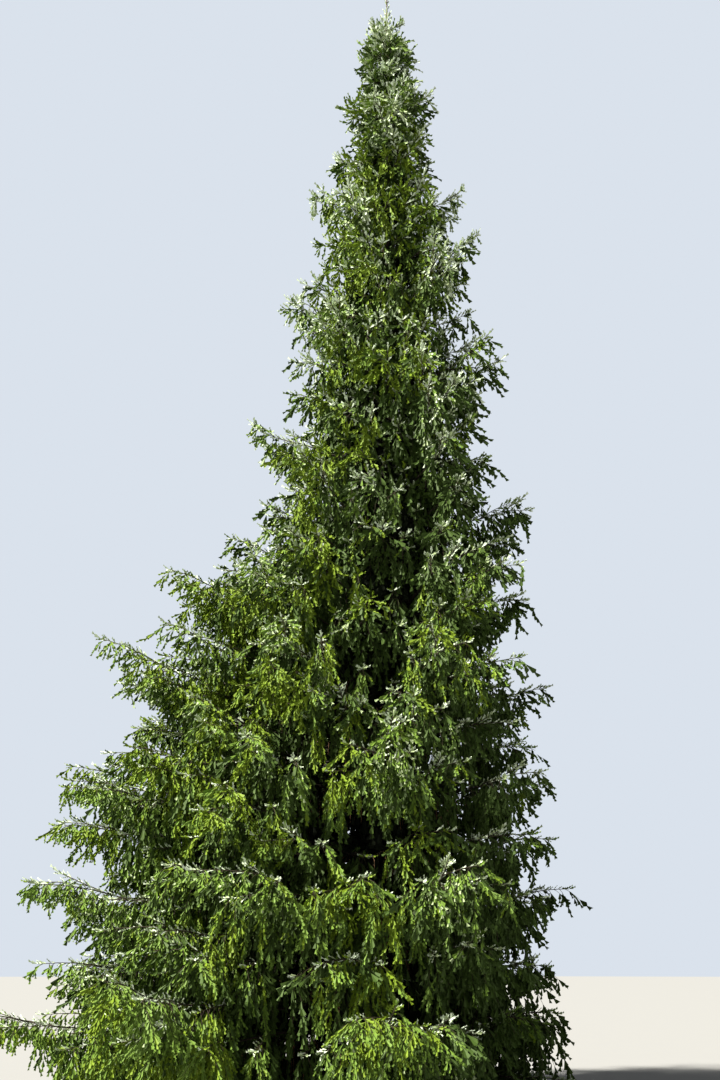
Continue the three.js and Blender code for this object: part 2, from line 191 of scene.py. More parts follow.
# How far hanging twigs point down where they leave a limb and at their ends: low and high up in the
# crown, near a bough's tip, and unevenness
FIRST_TILT = (0.6, -0.1)
FIRST_TILT_TIP = (0.7, 0.9)
FIRST_TILT_UNEVENNESS = 0.5
LAST_TILT = (1.5, 0.7)
LAST_TILT_TIP = 0.3
LAST_TILT_TIP_SHARE = (0.7, 1.0)
LAST_TILT_UNEVENNESS = 0.2
TILT_SETTLES = 2.2
# Ramps of a bough's height, of its share of the tree's height, of the place along a bough, and of the
# distance out along the long side
HANG_MID = (0, 4)
HANG_HIGH = (0.2, 0.7)
RISING = (0.66, 0.28)
NEAR_TIP = (0.66, 0.3)
LONG_LOW_ENDS = (3.0, 0.9)
LONG_LOW_LEVELS = (1.6, 1.0)
LONG_LOW_SHORTER = 0.55
# Dead twigs: below this height and within this share of a bough, and the share that is dead there
DEAD_BELOW = 5.2
DEAD_WITHIN = 0.42
DEAD_SHARE = 0.6

# How far shoots and limbs may go: shares of the reach, metres beyond it, shares of the box
LIMIT_SHARE = (1.03, 0.98)
LIMIT_BEYOND = (0.09, 0.11)
LIMIT_RISES_TO = 0.6
LIMIT_FADES_OVER = 2.0
LIMB_MARGIN = 0.09
LEAST_REACH = 0.08
SLENDER_REACH = 0.3
SHORTEST_SHARE = 0.25
LIMB_OUTSIDE_SHARE = 0.01
OUTSIDE_SHARE = 0.02

# Needle sprays: tufts in a whorl, rise of the second whorl, and a tuft's base, width and tip
TUFTS = 3
WHORL_RISE = 0.62
TUFT_STEP = 0.06
TUFT_BASE = 0.72
TUFT_OUT = (0.5, 0.4)
TUFT_TIP = (0.66, 1.05)
TUFT_TIP_STEP = 0.05
# The whorls that each form of spray has
SPRAY_FORMS = {"whole": (0, 1), "base": (0,), "end": (1,)}

# Shoots: on a hanging twig or a limb's ridge each leaves sideways by an uneven angle and opening,
# and lifts
SIDEWAYS = 1.45
CURTAIN_FORM = (1.7, (0.25, 0.8), 0.0)
RIDGE_FORM = (2.9, (0.4, 0.95), 0.1)
SHOOTS_LOOSEN = (0.9, 1.3)
SHOOT_GROWTH = (0.84, 1.45)
SHOOT_UNEVENNESS = (0.78, 1.2)
SHORT_SHOOTS = (0.5, 1.5)
# On a hanging twig: from where to where, and how far they rise, low down, halfway and at the top
CURTAIN_SPAN = (0.05, 0.98)
CURTAIN_RISE = (-0.6, -0.35, 0.7)
# A spray's luck decides its kind: what is added to it, in all and along its twig
SPRAY_BY_PLACE = (0.2, -0.45)
# Further shoots on a shoot: the share that has one, where it leaves, and its bend
BRANCHINGS = ((0.9, 0.55, 0.6), (0.5, 0.8, 0.5))
BRANCHED_FROM = (0.5, 0.1)
BRANCHED_RISE = 0.7
BRANCHED_LENGTH = 0.95
# Lengths of shoots on the ends of hanging twigs and on ridges, as shares of a plain shoot's
END_LENGTH = 1.15
RIDGE_LENGTH = 0.85
# Ridge shoots that face up by more than this have at most the first luck, the rest at least the second.
# So upright ones are paler: the needles' wax, and in part a painted highlight from above
RIDGE_UPRIGHT = 0.25
RIDGE_LUCK = (0.8, 0.5)
# Ridges of limbs: how much looser their shoots stand, and how much further out their ends count
BOUGH_RIDGE = (1.0, 1.0)
TWIG_RIDGE = (1.6, 0.1)
# Ends of limbs: number of shoots and their size, and how the side shoots stand
BOUGH_END = (6, 1.0)
TWIG_END = (4, 0.9)
END_STEP = 0.05
END_SPREAD = 1.5
END_LIFT = 0.35
END_SIDE_LENGTH = 0.85
GOLDEN_ANGLE = math.radians(137.5)
# Shoots round the leader: the first height, closer and wider steps, and how far below the top each ends
LEADER_FROM = 16.4
LEADER_SPACINGS = (0.016, 0.06)
LEADER_ENDS = (0.48, 0.15)
LEADER_WIDTH = 0.16
LEADER_FADES_OVER = 1.2
LEADER_OPENING = 0.45
LEADER_ATTACHED = 0.3

# What a shoot is on, and what colour it has
CURTAIN, RIDGE, TIP, LEADER = range(4)
# Green shoots of four tones: sunlit is painted light, deep and shade are painted shade
KINDS = ("silver", "frost", "leaf", "sunlit", "deep", "shade", "white")
SILVER, FROST, LEAF, SUNLIT, DEEP_SHADE, SHADE, WHITE = range(len(KINDS))
# The colour of each form of spray, by the kind of its shoot
DEALT = {
    "silver": (("end", SILVER), ("whole", WHITE)),
    "frost": (("base", SILVER), ("end", FROST)),
    "leaf": (("whole", LEAF), ("base", FROST)),
    "sunlit": (("whole", SUNLIT),),
    "deep": (("whole", DEEP_SHADE),),
    "shade": (("whole", SHADE),),
}
# In the crown's depth there are fewer and larger sprays: the share that stays, and how much larger,
# and how much less of both there is high up
THINNED = {DEEP_SHADE: (0.55, 1.5), SHADE: (0.42, 2.2)}
UPPER_STAYS = 0.6
UPPER_GROWTH = 0.5
# Widths of sprays: on ridges low down and higher, at the ends of limbs, and in the whole crown
SLIM = (0.62, 0.85)
SLIM_UP_TO = 0.4
END_WIDTH = 1.05
WIDTH_BY_HEIGHT = (1.0, 0.8)
# How far needles reach, as a share of their shoot's length
NEEDLE_REACH = 1.1
# Parts of the crown, as ramps of the share of its reach, of its height or of a bough's length
OUTER = (0.55, 0.35)
TOPMOST = (0.3, 0.5)
ABOVE_LOW = (0.1, 0.22)
ALONG_BOUGH = (0.35, 0.3)
BELOW_SPIRE = (0.86, 0.06)
UPPER = (0.45, 0.25)
OUTER_HALF = (0.5, 0.4)
NEAR_EDGE = (0.6, 0.3)
# The right-hand side of the crown from the front, where colour paints shade: how sharply it begins, and
# its turn
RIGHT_SHARPNESS = 0.75
RIGHT_TURN = 1.15

# Shares of the shoots that are silver, frosted or sunlit. A pair runs over a part of the crown.
SILVER_ENDS = 0.88
SILVER_ENDS_LOW = 0.72
SILVER_RIDGES = 0.82
SILVER_TOPMOST = 0.3
SILVER_OUTWARD = (0.3, 1)
# Pairs for the right are painted shade: fewer silver, sunlit and white shoots on the crown's right
SILVER_RIGHT = (1.0, 0.6)
FROST_TOPMOST = (0.03, 0.5)
FROST_OUTWARD = (0.4, 1)
FROST_LIMBS = 0.25
# Frost on the outer curtains everywhere and, as painted light, more on the crown's lit left
FROST_OUTER = (0.09, 0.3)
SUNLIT_TOPMOST = (0.47, 0.44)
SUNLIT_LOW = (1.0, 0.6)
SUNLIT_TOP_EDGE = (1.0, 0.4)
SUNLIT_RIGHT = (1.0, 0.05)
SUNLIT_RIGHT_TOPMOST = 0.6
WHITE_ENDS = 0.5
WHITE_ENDS_LOW = (1, 0.7)
WHITE_RIDGES = (0.6, 0.85)
WHITE_RIGHT = (1, 0.3)
# The draw that decides: patches to a metre and their shift, the contrast of patches and of the
# whole, and the weights of patch, spray and shoot
PATCHES = 1.7
PATCH_SHIFT = 40
PATCH_CONTRAST = 2.0
DRAW_CONTRAST = 1.35
DRAW_WEIGHTS = (0.4, 0.36, 0.24)
# Painted shade in deep green and shade: within these shares of the reach, and deep green in a band of
# the draw too
DEEP_SHADE_WITHIN = (0.56, 0.36)
SHADE_WITHIN = (0.33, 0.18)
BAND_AT = 0.36
BAND = (0.05, 0.09)
# Painted shade: the band is wider on the crown's right and under the layers
BAND_RIGHT = 0.34
BAND_HUNG = 0.16
BANDED_WITHIN = (0.84, 0.4)
# Added to the seed for the shoots and for their kinds, seeds of the nodes and of each noise
SHOOT_SEED = 5
KIND_SEED = 9
SPRAY_SEED = 7
PLATE_SEEDS = (3, 4)
PATCH_SEED = 5
RELIEF_SEED = 8

# The wood's meshes: rings, closer low down by a power, sides, plates of bark to a metre round and up
# and finer ones, and relief
TRUNK_RINGS = 150
TRUNK_RINGS_POWER = 1.5
TRUNK_SIDES = 40
TRUNK_PLATES = (16, 9)
TRUNK_FINER_PLATES = (2.3, 0.5)
TRUNK_PLATES_FROM = 0.02
TRUNK_SMOOTH_TOP = 0.3
TRUNK_RELIEF = 0.055
TRUNK_LEAST_RADIUS = 0.003
BOUGH_SIDES = 5
BOUGH_LUMPS = 30
BOUGH_RELIEF = 0.3
LUMPS_AROUND = (1, 2, 3)
TWIG_SIDES = 3
# Radii of twigs at root and end, and which points of their lines are kept
TWIG_RADII = {
    "side_twigs": ((0.009, 0.0035), slice(None)),
    "hanging_twigs": ((0.0045, 0.0022), [0, 2, 5]),
    "dead_twigs": ((0.006, 0.003), [0, 1, 3, 5]),
}
PIECE_TRIANGLES = 190000
# The tier's digits in the name of a mass, as in foliage_01a
TIER_DIGITS = slice(8, 10)
WIDTH_UNEVENNESS = 0.2

# Bark: colours of the plates, of the cracks and of warm weathered patches, plates to a metre and
# depth of the relief. The trunk's plates have their colour among the values that a user would change.
BOUGH_BARK = ((0.055, 0.045, 0.033), (0.02, 0.016, 0.012), (0.075, 0.05, 0.03), 60, 0.006)
TWIG_BARK = ((0.05, 0.04, 0.02), (0.02, 0.016, 0.008), (0.07, 0.05, 0.024), 120, 0.002)
DEAD_BARK = ((0.34, 0.20, 0.11), (0.10, 0.055, 0.03), (0.42, 0.22, 0.12), 90, 0.002)
TRUNK_BARK = ((0.055, 0.038, 0.028), (0.27, 0.16, 0.09), 26, 0.012)
PLATE_HEIGHT_SHARE = 0.55
PLATE_LOOSENESS = 0.9
CRACK_WIDTHS = (0.02, 0.2)
# Noise on bark: how much finer than the plates, and its detail
GRAIN = (3.5, 6)
WEATHER = (0.35, 3)
# Masks, as a noise's strength and what is taken off it
WARM_MASK = (1.6, 0.35)
DARK_MASK = (1.4, 0.4)
DARK_SHARE = 0.55
BARK_ROUGHNESS = (0.78, 0.2)
BARK_HEIGHTS = (0.8, 0.4)
NOISE_ROUGHNESS = 0.55
# Needles: unevenness of the colour, noises with their detail, and the sheen of the wax
NEEDLE_SPREAD = 0.3
NEEDLE_PATCH = (9.0, 2)
NEEDLE_FLECK = (70.0, 1)
NEEDLE_MASK = (1.5, 0.8, 0.65)
NEEDLE_ROUGHNESS = (0.6, 0.15)
NEEDLE_WAX = {"Coat_Weight": 0.05, "Coat_Roughness": 0.5, "Specular_IOR_Level": 0.25}

# Floor, light and camera, whose lens and film are in millimetres
FLOOR_SIDES = 96
FLOOR_RINGS = (6.0, 30.0, 160.0)
FLOOR_DEPTH = 0.002
FLOOR_PATCH = (1.5, 3)
FLOOR_DARKER = 0.96
FLOOR_ROUGHNESS = 0.95
FILL_COLOUR = (0.95, 0.97, 0.97)
FILL_STRENGTH = 0.21
BACKDROP_COLOUR = (0.70, 0.76, 0.84)
KEY_STRENGTH = 11.7
KEY_WIDTH = math.radians(4)
KEY_COLOUR = (1.0, 0.95, 0.84)
KEY_FROM = (-0.72, -0.42, 0.72)
KEY_AWAY = 30
CAMERA_LENS = 35
CAMERA_FILM = 36
CAMERA_SEES = 500
CAMERA_PLACE = (-0.33, -14.05, 1.6)
CAMERA_TILT = math.radians(22.03)


def mix(a, b, t):
    return a + (b - a) * t


def smooth(t):
    s = np.clip(t, 0, 1)
    return s * s * (3 - 2 * s)


def ramp(value, start, span):
    """0 up to start and 1 past start + span, with a smooth rise between."""
    return smooth((value - start) / span)


def contrast(value, strength):
    return np.clip(0.5 + strength * (value - 0.5), 0, 1)


def unit(v):
    return v / np.maximum(np.linalg.norm(v, axis=-1, keepdims=True), NO_LENGTH)


def apart(a, b):
    """The angle between two azimuths."""
    return abs((a - b + math.pi) % TURN - math.pi)


class Stream:
    """The repeatable stream of numbers that the source's table of boughs draws from."""

    FACTOR = 48271
    MODULUS = 2147483647

    def __init__(self, seed):
        self.state = seed

    def draw(self):
        self.state = self.state * self.FACTOR % self.MODULUS
        return self.state / self.MODULUS


def value_noise(p, seed):
    """Smooth noise from 0 to 1 at points p, from a number that is scrambled for each cell corner."""
    primes, seed_prime = (374761393, 668265263, 2147483647), 974711
    scramble, kept_bits = 1274126177, 0xFFFFFF
    cell = np.floor(p).astype(np.int64)
    share = p - cell
    share = share * share * (3 - 2 * share)
    total = np.zeros(p.shape[:-1])
    for corner in range(8):
        offset = np.array([corner & 1, corner >> 1 & 1, corner >> 2 & 1])
        number = ((cell + offset) * primes).sum(axis=-1) + seed * seed_prime
        number = (number ^ (number >> 13)) * scramble
        number = ((number ^ (number >> 16)) & kept_bits) / kept_bits
        total += number * np.prod(np.where(offset, share, 1 - share), axis=-1)
    return total


def axis_x(z):
    return LEAN * (np.maximum(z, 0) / HEIGHT) ** LEAN_POWER


def trunk_radius(z):
    return mix(LEADER_RADIUS, TRUNK_RADIUS, np.clip(1 - z / HEIGHT, 0, 1) ** TAPER_POWER)


def flare(z, angle):
    lobes = 1 + FLARE_LOBE_SHARE * np.cos(FLARE_LOBES * angle + FLARE_TURN)
    return FLARE_RADIUS * np.exp(-z / FLARE_HEIGHT) * lobes


def crown_reach(height, azimuth):
    depth = HEIGHT - height
    reach = REACH_AT_TIP + REACH_FAR_BELOW * (1 - np.exp(-depth / REACH_DEPTH))
    facing = 0.5 + 0.5 * np.cos(azimuth - LONG_SIDE_AZIMUTH)
    return reach * mix(1, LONG_SIDE_GROWTH, ramp(depth, *LONG_SIDE) * facing**2)


def bough_height(attach, r, azimuth):
    reach = crown_reach(attach, azimuth)
    at_trunk = mix(*SLOPE_AT_TRUNK, attach / HEIGHT)
    at_tip = mix(*SLOPE_AT_TIP, attach / HEIGHT)
    t = r / reach
    return attach + reach * (at_trunk * t + (at_tip - at_trunk) * t * t / 2)


def tier_heights():
    height, gap = TIER_FIRST, TIER_GAP
    for index in range(TIER_COUNT):
        yield index, height, gap
        height += gap
        gap *= TIER_GAP_RATIO


def source_boughs():
    """The source's own boughs: height, azimuth, reach, where foliage begins, share of wood."""
    stream = Stream(TABLE_SEED)
    rows = []
    for index, height, _ in tier_heights():
        fours = index < FOUR_SECTOR_TIERS
        threes = index < FOUR_SECTOR_TIERS + THREE_SECTOR_TIERS
        count = 4 if fours else 3 if threes else 2
        phase = FOUR_SECTOR_PHASES[index % 2] if fours else (math.pi / count if index % 2 else 0)
        for k in range(count):
            centre = math.pi + phase + TURN * k / count
            azimuth = centre + AZIMUTH_UNEVENNESS * (stream.draw() - 0.5)
            outer = crown_reach(height, azimuth) * mix(*REACH_UNEVENNESS, stream.draw())
            rows.append((height, azimuth, float(outer), FOLIAGE_FROM, 1.0))
    return rows


def infill_levels():
    """Height, share of the crown's reach and looseness of each lesser level, and if it is a skirt."""
    rise, share, loose = LOWEST_LEVEL
    yield TIER_FIRST + rise * TIER_GAP, share, loose, False
    for _, height, gap in tier_heights():
        for rise, share, loose in INFILL_LEVELS:
            yield height + rise * gap, share, loose, False
    for _, height, gap in tier_heights():
        if SKIRT_HEIGHTS[0] < height < SKIRT_HEIGHTS[1]:
            for rise, share, loose in SKIRT_LEVELS:
                yield height + rise * gap, share, loose, True


def infill_boughs(random, spacing):
    """The lesser boughs between the source's tiers, and between its boughs in a tier."""
    rows = []
    main = source_boughs()
    for height, share, loose, skirt in infill_levels():
        if height > HEIGHT - LEADER_BARE:
            continue
        high = height / HEIGHT
        halfway = crown_reach(height, SHORT_SIDE_AZIMUTH) * 0.5
        around = max(FEWEST_AROUND, round(TURN * halfway / spacing))
        taken = [a for h, a, *_ in main if abs(h - height) < SAME_LEVEL]
        start = random.random() * TURN
        for k in range(around):
            azimuth = start + TURN * (k + 0.5 * (random.random() - 0.5)) / around
            if any(apart(azimuth, other) < 0.5 * TURN / around for other in taken):
                continue
            in_cleft = apart(azimuth, CLEFT_AZIMUTH) < CLEFT_HALF_WIDTH
            if in_cleft and CLEFT_HEIGHTS[0] < height < CLEFT_HEIGHTS[1]:
                continue
            if skirt and math.cos(azimuth - LONG_SIDE_AZIMUTH) < SKIRT_FACING:
                continue
            lift = loose * (random.random() - 0.5) * TIER_GAP
            uneven = mix(mix(*SHORTEST_LESSER, high), mix(*LONGEST_LESSER, high), random.random())
            narrow = mix(1.0, SPIRE_SHARE, float(ramp(height, *SPIRE)))
            reach = crown_reach(height, azimuth) * share * uneven * narrow
            begins = SKIRT_FOLIAGE_FROM if skirt else FOLIAGE_FROM
            rows.append((height + lift, azimuth, float(reach), begins, LESSER_WOOD))
    height = INNER_FROM
    while height < HEIGHT - LEADER_BARE:
        azimuth = random.random() * TURN
        share = mix(*INNER_SHARE, height / HEIGHT) * mix(*INNER_UNEVENNESS, random.random())
        reach = float(crown_reach(height, azimuth) * share)
        rows.append((height, azimuth, reach, FOLIAGE_FROM, LESSER_WOOD))
        height += INNER_SPACING
    return rows


class Paths:
    """Lines of equally many points inside the crown's box, read anywhere along any of them."""

    def __init__(self, points):
        low, high = np.array(CAD_BOX)
        around = LIMB_OUTSIDE_SHARE * (high - low) * FLAT
        self.points = np.clip(points, low - around, high + around)

    def at(self, index, u):
        steps = self.points.shape[1] - 1
        place = np.clip(u, 0, 1) * steps
        low = np.minimum(place.astype(int), steps - 1)
        share = (place - low)[:, None]
        a, b = self.points[index, low], self.points[index, low + 1]
        return a + (b - a) * share, unit(b - a)

    def lengths(self):
        return np.linalg.norm(np.diff(self.points, axis=1), axis=2).sum(axis=1)


def spaced_along(lengths, spacing, start, end, least=1):
    """For each line, places about spacing apart from start to end: line numbers, places, sides."""
    start = start * np.ones(len(lengths))
    share = end - start
    counts = np.maximum(least, np.round(lengths * share / spacing)).astype(int)
    index = np.repeat(np.arange(len(lengths)), counts)
    order = np.arange(len(index)) - np.repeat(np.cumsum(counts) - counts, counts)
    u = start[index] + share[index] * (order + 0.5) / counts[index]
    return index, u, np.where(order % 2, 1.0, -1.0)


def radial_share(place, attach):
    """How far out a place is on a bough of that height: 0 at the trunk, 1 at the crown's reach."""
    x = place[:, 0] - axis_x(place[:, 2])
    reach = crown_reach(attach, np.arctan2(place[:, 1], x))
    return np.hypot(x, place[:, 1]) / np.maximum(LEAST_REACH, reach)


def crown_limit(attach):
    """The radial share that a bough's shoots may reach."""
    rise = ramp(attach, 0, LIMIT_RISES_TO * HEIGHT)
    beyond = mix(*LIMIT_BEYOND, rise) * smooth((HEIGHT - attach) / LIMIT_FADES_OVER)
    return mix(*LIMIT_SHARE, rise) + beyond / np.maximum(LEAST_REACH, crown_reach(attach, 0))


def shortened(points, attach):
    """Limbs drawn back towards their roots where their ends would leave the crown."""
    root, tip = points[:, 0], points[:, -1]
    within = crown_limit(attach) - LIMB_MARGIN / np.maximum(SLENDER_REACH, crown_reach(attach, 0))
    from_share, to_share = radial_share(root, attach), radial_share(tip, attach)
    over = to_share > np.maximum(within, from_share)
    share = (within - from_share) / np.where(over, to_share - from_share, 1)
    share = np.where(over, np.clip(share, SHORTEST_SHARE, 1), 1)
    return root[:, None, :] + (points - root[:, None, :]) * share[:, None, None]


def visible_reach(attach, azimuth, reach, from_source):
    """The length of boughs after the crown's dips, with room left for the shoots on their ends."""
    facing = np.cos(azimuth - LONG_SIDE_AZIMUTH)
    for height, half_height, long_share, other_share in DIPS:
        share = np.where(facing > 0, long_share, other_share) * abs(facing)
        reach = reach * (1 - share * np.exp(-(((attach - height) / half_height) ** 2)))
    short = np.minimum(mix(*SHORT_OF_REACH, attach / HEIGHT), SHORT_AT_MOST * reach)
    return reach - short * (1 - SPIKE_SHARE * from_source * ramp(attach / HEIGHT, *SPIKES))


def grow_boughs(shape, random):
    main = source_boughs()
    rows = main + infill_boughs(random, shape.bough_spacing)
    attach, azimuth, reach, begins, wood = (np.array(column) for column in zip(*rows))
    drift = BOUGH_DRIFT * (random.random(len(rows)) - 0.5)[:, None]
    reach = visible_reach(attach, azimuth, reach, np.arange(len(rows)) < len(main))
    t = np.linspace(0, 1, BOUGH_STEPS + 1)[None, :]
    r = mix(trunk_radius(attach)[:, None] * BOUGH_ROOTED, reach[:, None], t)
    turned = azimuth[:, None] + drift * t**2
    waves = mix(*SWAY_WAVES, random.random(len(rows))[:, None])
    sway = SWAY * reach[:, None] * np.sin(t * waves) * np.sqrt(t)
    z = bough_height(attach[:, None], r, turned) + sway
    z = np.maximum(z, GROUND_CLEARANCE + CLEAR_AT_TRUNK * (1 - t))
    x = axis_x(z) + r * np.cos(turned)
    y = r * np.sin(turned)
    return {
        "paths": Paths(np.stack([x, y, z], axis=2)),
        "attach": attach,
        "place": np.zeros(len(rows)),
        "reach": reach,
        "begins": begins,
        "wood": wood,
    }


def grow_twigs(shape, boughs, random):
    """Side twigs of the boughs by the source's rule, at a finer spacing."""
    start = np.clip(TWIGS_FROM + TWIGS_OFF_TRUNK / boughs["reach"], *TWIGS_BEGIN)
    start = np.maximum(start, boughs["begins"])
    bough, t, side = spaced_along(boughs["reach"], shape.twig_spacing, start, TWIGS_END, FEWEST_TWIGS)
    root, _ = boughs["paths"].at(bough, t)
    angle = side * mix(*TWIG_ANGLE, t) * mix(*TWIG_TURN_UNEVENNESS, random.random(len(t)))
    foot = axis_x(root[:, 2])
    heading = np.arctan2(root[:, 1], root[:, 0] - foot) + angle
    far = boughs["reach"][bough]
    widest = np.minimum(TWIG_REACH[0] * far, t * far * TWIG_CLOSENESS)
    length = mix(widest, TWIG_REACH[1] * far, t) * mix(*TWIG_UNEVENNESS, random.random(len(t)))
    length = np.minimum(length, TWIG_LONGEST) + TWIG_EXTRA
    s = np.linspace(0, 1, TWIG_STEPS + 1)[None, :]
    bend = heading[:, None] - TWIG_BEND * angle[:, None] * s
    step = (length / TWIG_STEPS)[:, None]
    dx = np.cumsum(np.cos(bend) * step, axis=1) - np.cos(bend[:, :1]) * step
    dy = np.cumsum(np.sin(bend) * step, axis=1) - np.sin(bend[:, :1]) * step
    x, y = root[:, :1] + dx, root[:, 1:2] + dy
    r = np.hypot(x - foot[:, None], y)
    azimuth = np.arctan2(y, x - foot[:, None])
    attach = boughs["attach"][bough]
    level = attach[:, None]
    rise = bough_height(level, r, azimuth) - bough_height(level, r[:, :1], azimuth[:, :1])
    droop = mix(*TWIG_DROOP, level / HEIGHT) * length[:, None] * s**2
    z = np.maximum(root[:, 2:3] + rise - droop, TWIG_CLEARANCE)
    points = shortened(np.stack([x, y, z], axis=2), attach)
    return {"paths": Paths(points), "place": t, "attach": attach}


def strand_lengths(shape, root, place, attach, random):
    """Longest low down and halfway out, and short near the low ends of the long side."""
    high = attach / HEIGHT
    hang = mix(shape.hang_low, shape.hang_mid, ramp(attach, *HANG_MID))
    hang = mix(hang, shape.hang_high, ramp(high, *HANG_HIGH))
    profile = mix(*STRANDS_INWARD, ramp(place, *INNER_HALF))
    profile = profile * mix(*STRANDS_AT_TIP, ramp(place, *NEAR_TIP))
    length = hang * profile * mix(*STRAND_UNEVENNESS, random.random(len(place)))
    long_low = ramp(-root[:, 0], *LONG_LOW_ENDS) * (1 - ramp(attach, *LONG_LOW_LEVELS))
    length = length * (1 - LONG_LOW_SHORTER * long_low)
    return np.minimum(length, np.maximum(STRAND_LEAST, root[:, 2] - STRAND_ABOVE_GROUND))


def strand_tilts(place, high, random):
    """How far hanging twigs point down, point by point from their roots to their ends."""
    near_tip = ramp(place, *NEAR_TIP)
    rising = ramp(high, *RISING)
    first = mix(*FIRST_TILT, rising) - mix(*FIRST_TILT_TIP, high) * near_tip
    first = first + FIRST_TILT_UNEVENNESS * (random.random(len(place)) - 0.5)
    last = mix(mix(*LAST_TILT, rising), LAST_TILT_TIP, near_tip * mix(*LAST_TILT_TIP_SHARE, high))
    last = last + LAST_TILT_UNEVENNESS * (random.random(len(place)) - 0.5)
    settled = smooth(np.linspace(0, 1, STRAND_STEPS + 1)[None, :] * TILT_SETTLES)
    return mix(first[:, None], np.maximum(first, last)[:, None], settled)


def grow_strands(shape, limbs, start, growth, random):
    """The twigs that leave boughs or side twigs sideways and hang down in curtains.

    growth says how much further out on the bough the end of a limb counts than its root.
    """
    spacing = shape.strand_spacing * mix(*STRANDS_LOOSEN, limbs["attach"] / HEIGHT)
    index, u, side = spaced_along(limbs["paths"].lengths(), spacing, start, LIMBS_END)
    place = np.clip(limbs["place"][index] + growth * u, 0, 1)
    attach = limbs["attach"][index]
    root, along = limbs["paths"].at(index, u)
    flat = unit(along * FLAT)
    across = np.cross(UP, flat) * side[:, None]
    heading = unit(flat * mix(*STRAND_LEAD, random.random(len(u)))[:, None] + across)
    length = strand_lengths(shape, root, place, attach, random)
    tilt = strand_tilts(place, attach / HEIGHT, random)[:, :, None]
    move = np.cos(tilt) * heading[:, None, :] - np.sin(tilt) * UP
    step = (length / STRAND_STEPS)[:, None, None]
    points = root[:, None, :] + np.cumsum(move * step, axis=1) - move[:, :1] * step
    points = shortened(points, attach)
    points[:, :, 2] = np.maximum(points[:, :, 2], STRAND_LIFT)
    return {"points": points, "place": place, "attach": attach, "luck": random.random(len(u))}


Sizes = collections.namedtuple(
    "Sizes", "seed bough_spacing twig_spacing strand_spacing hang_low hang_mid hang_high"
)


@functools.lru_cache(maxsize=1)
def grown(shape):
    """The whole crown's limbs for one set of sizes."""
    random = np.random.default_rng(shape.seed)
    boughs = grow_boughs(shape, random)
    twigs = grow_twigs(shape, boughs, random)
    parts = [
        grow_strands(shape, boughs, boughs["begins"], 1.0, random),
        grow_strands(shape, twigs, TWIG_FOLIAGE_FROM, TWIG_GROWTH, random),
    ]
    strands = {name: np.concatenate([part[name] for part in parts]) for name in parts[0]}
    strands["paths"] = Paths(strands.pop("points"))
    inside = (strands["attach"] < DEAD_BELOW) & (strands["place"] < DEAD_WITHIN)
    strands["dead"] = inside & (strands["luck"] < DEAD_SHARE)
    return {"boughs": boughs, "twigs": twigs, "strands": strands}


def crown_of(context):
    shape = context.scene.spruce_shape
    return grown(Sizes(*(round(getattr(shape, name), SIZE_DIGITS) for name in Sizes._fields)))


# Needle sprays


def quaternions(forward, up):
    """Turns that lay a spray's +Z along forward and its +Y towards up."""
    x = unit(np.cross(up, forward))
    m = np.stack([x, np.cross(forward, x), forward], axis=2)
    a, b, c = m[:, 2, 1] - m[:, 1, 2], m[:, 0, 2] - m[:, 2, 0], m[:, 1, 0] - m[:, 0, 1]
    d, e, f = m[:, 1, 0] + m[:, 0, 1], m[:, 2, 0] + m[:, 0, 2], m[:, 2, 1] + m[:, 1, 2]
    xx, yy, zz = m[:, 0, 0], m[:, 1, 1], m[:, 2, 2]
    trace = xx + yy + zz
    four = np.array([1 + trace, 1 + 2 * xx - trace, 1 + 2 * yy - trace, 1 + 2 * zz - trace])
    table = np.array([[four[0], a, b, c], [a, four[1], d, e], [b, d, four[2], f], [c, e, f, four[3]]])
    return unit(table[four.argmax(axis=0), :, np.arange(len(m))])


def spray_mesh(name, whorls):
    """A sprig one unit long along +Z and one unit wide, with one or both of its whorls of tufts."""
    points, faces = [], []
    for k in whorls:
        for tuft in range(TUFTS):
            turned = TURN * (tuft + 0.5 * k) / TUFTS
            start = k * (WHORL_RISE - TUFT_STEP * tuft)
            out, tip = mix(*TUFT_OUT, k), mix(*TUFT_TIP, k) - TUFT_TIP_STEP * tuft
            points += [[0, 0, start], [0, 0, min(1.0, start + TUFT_BASE)]]
            points.append([math.cos(turned) * out, math.sin(turned) * out, tip])
            faces.append(range(len(points) - 3, len(points)))
    mesh = bpy.data.meshes.new(name)
    mesh.from_pydata(points, [], faces)
    return mesh


def shoots_on(carrier, spacing, random, start, end, form):
    """Shoots along lines, pointing forward and out: line, place on it, point, direction and up."""
    spread, opened, lift = form
    index, u, side = spaced_along(carrier.lengths(), spacing, start, end)
    place, along = carrier.at(index, u)
    up = np.zeros_like(along) + UP
    across = unit(np.cross(along, up) + TINY)
    over_line = unit(np.cross(across, along))
    angle = side * (SIDEWAYS + (random.random(len(u)) - 0.5) * spread)
    out = across * np.sin(angle)[:, None] + over_line * np.cos(angle)[:, None]
    open_by = mix(*opened, random.random(len(u)))[:, None]
    return index, u, place, unit(along + out * open_by + up * lift), unit(out + TINY)


def shoot_lengths(shape, place, random):
    """Longer high up, where the young boughs grow fastest, and uneven."""
    longer = mix(*SHOOT_GROWTH, smooth(place[:, 2] / HEIGHT))
    least, over = SHORT_SHOOTS
    longer = longer * mix(least, 1.0, smooth((HEIGHT - place[:, 2]) / over))
    return shape.shoot_length * longer * mix(*SHOOT_UNEVENNESS, random.random(len(place)))


def shoots(place, forward, up, length, attach, t, spray, role):
    """Shoots as columns: t is how far along the bough they count, spray the luck of their spray."""
    return place, forward, up, length, attach, t, spray, np.full(len(place), role)


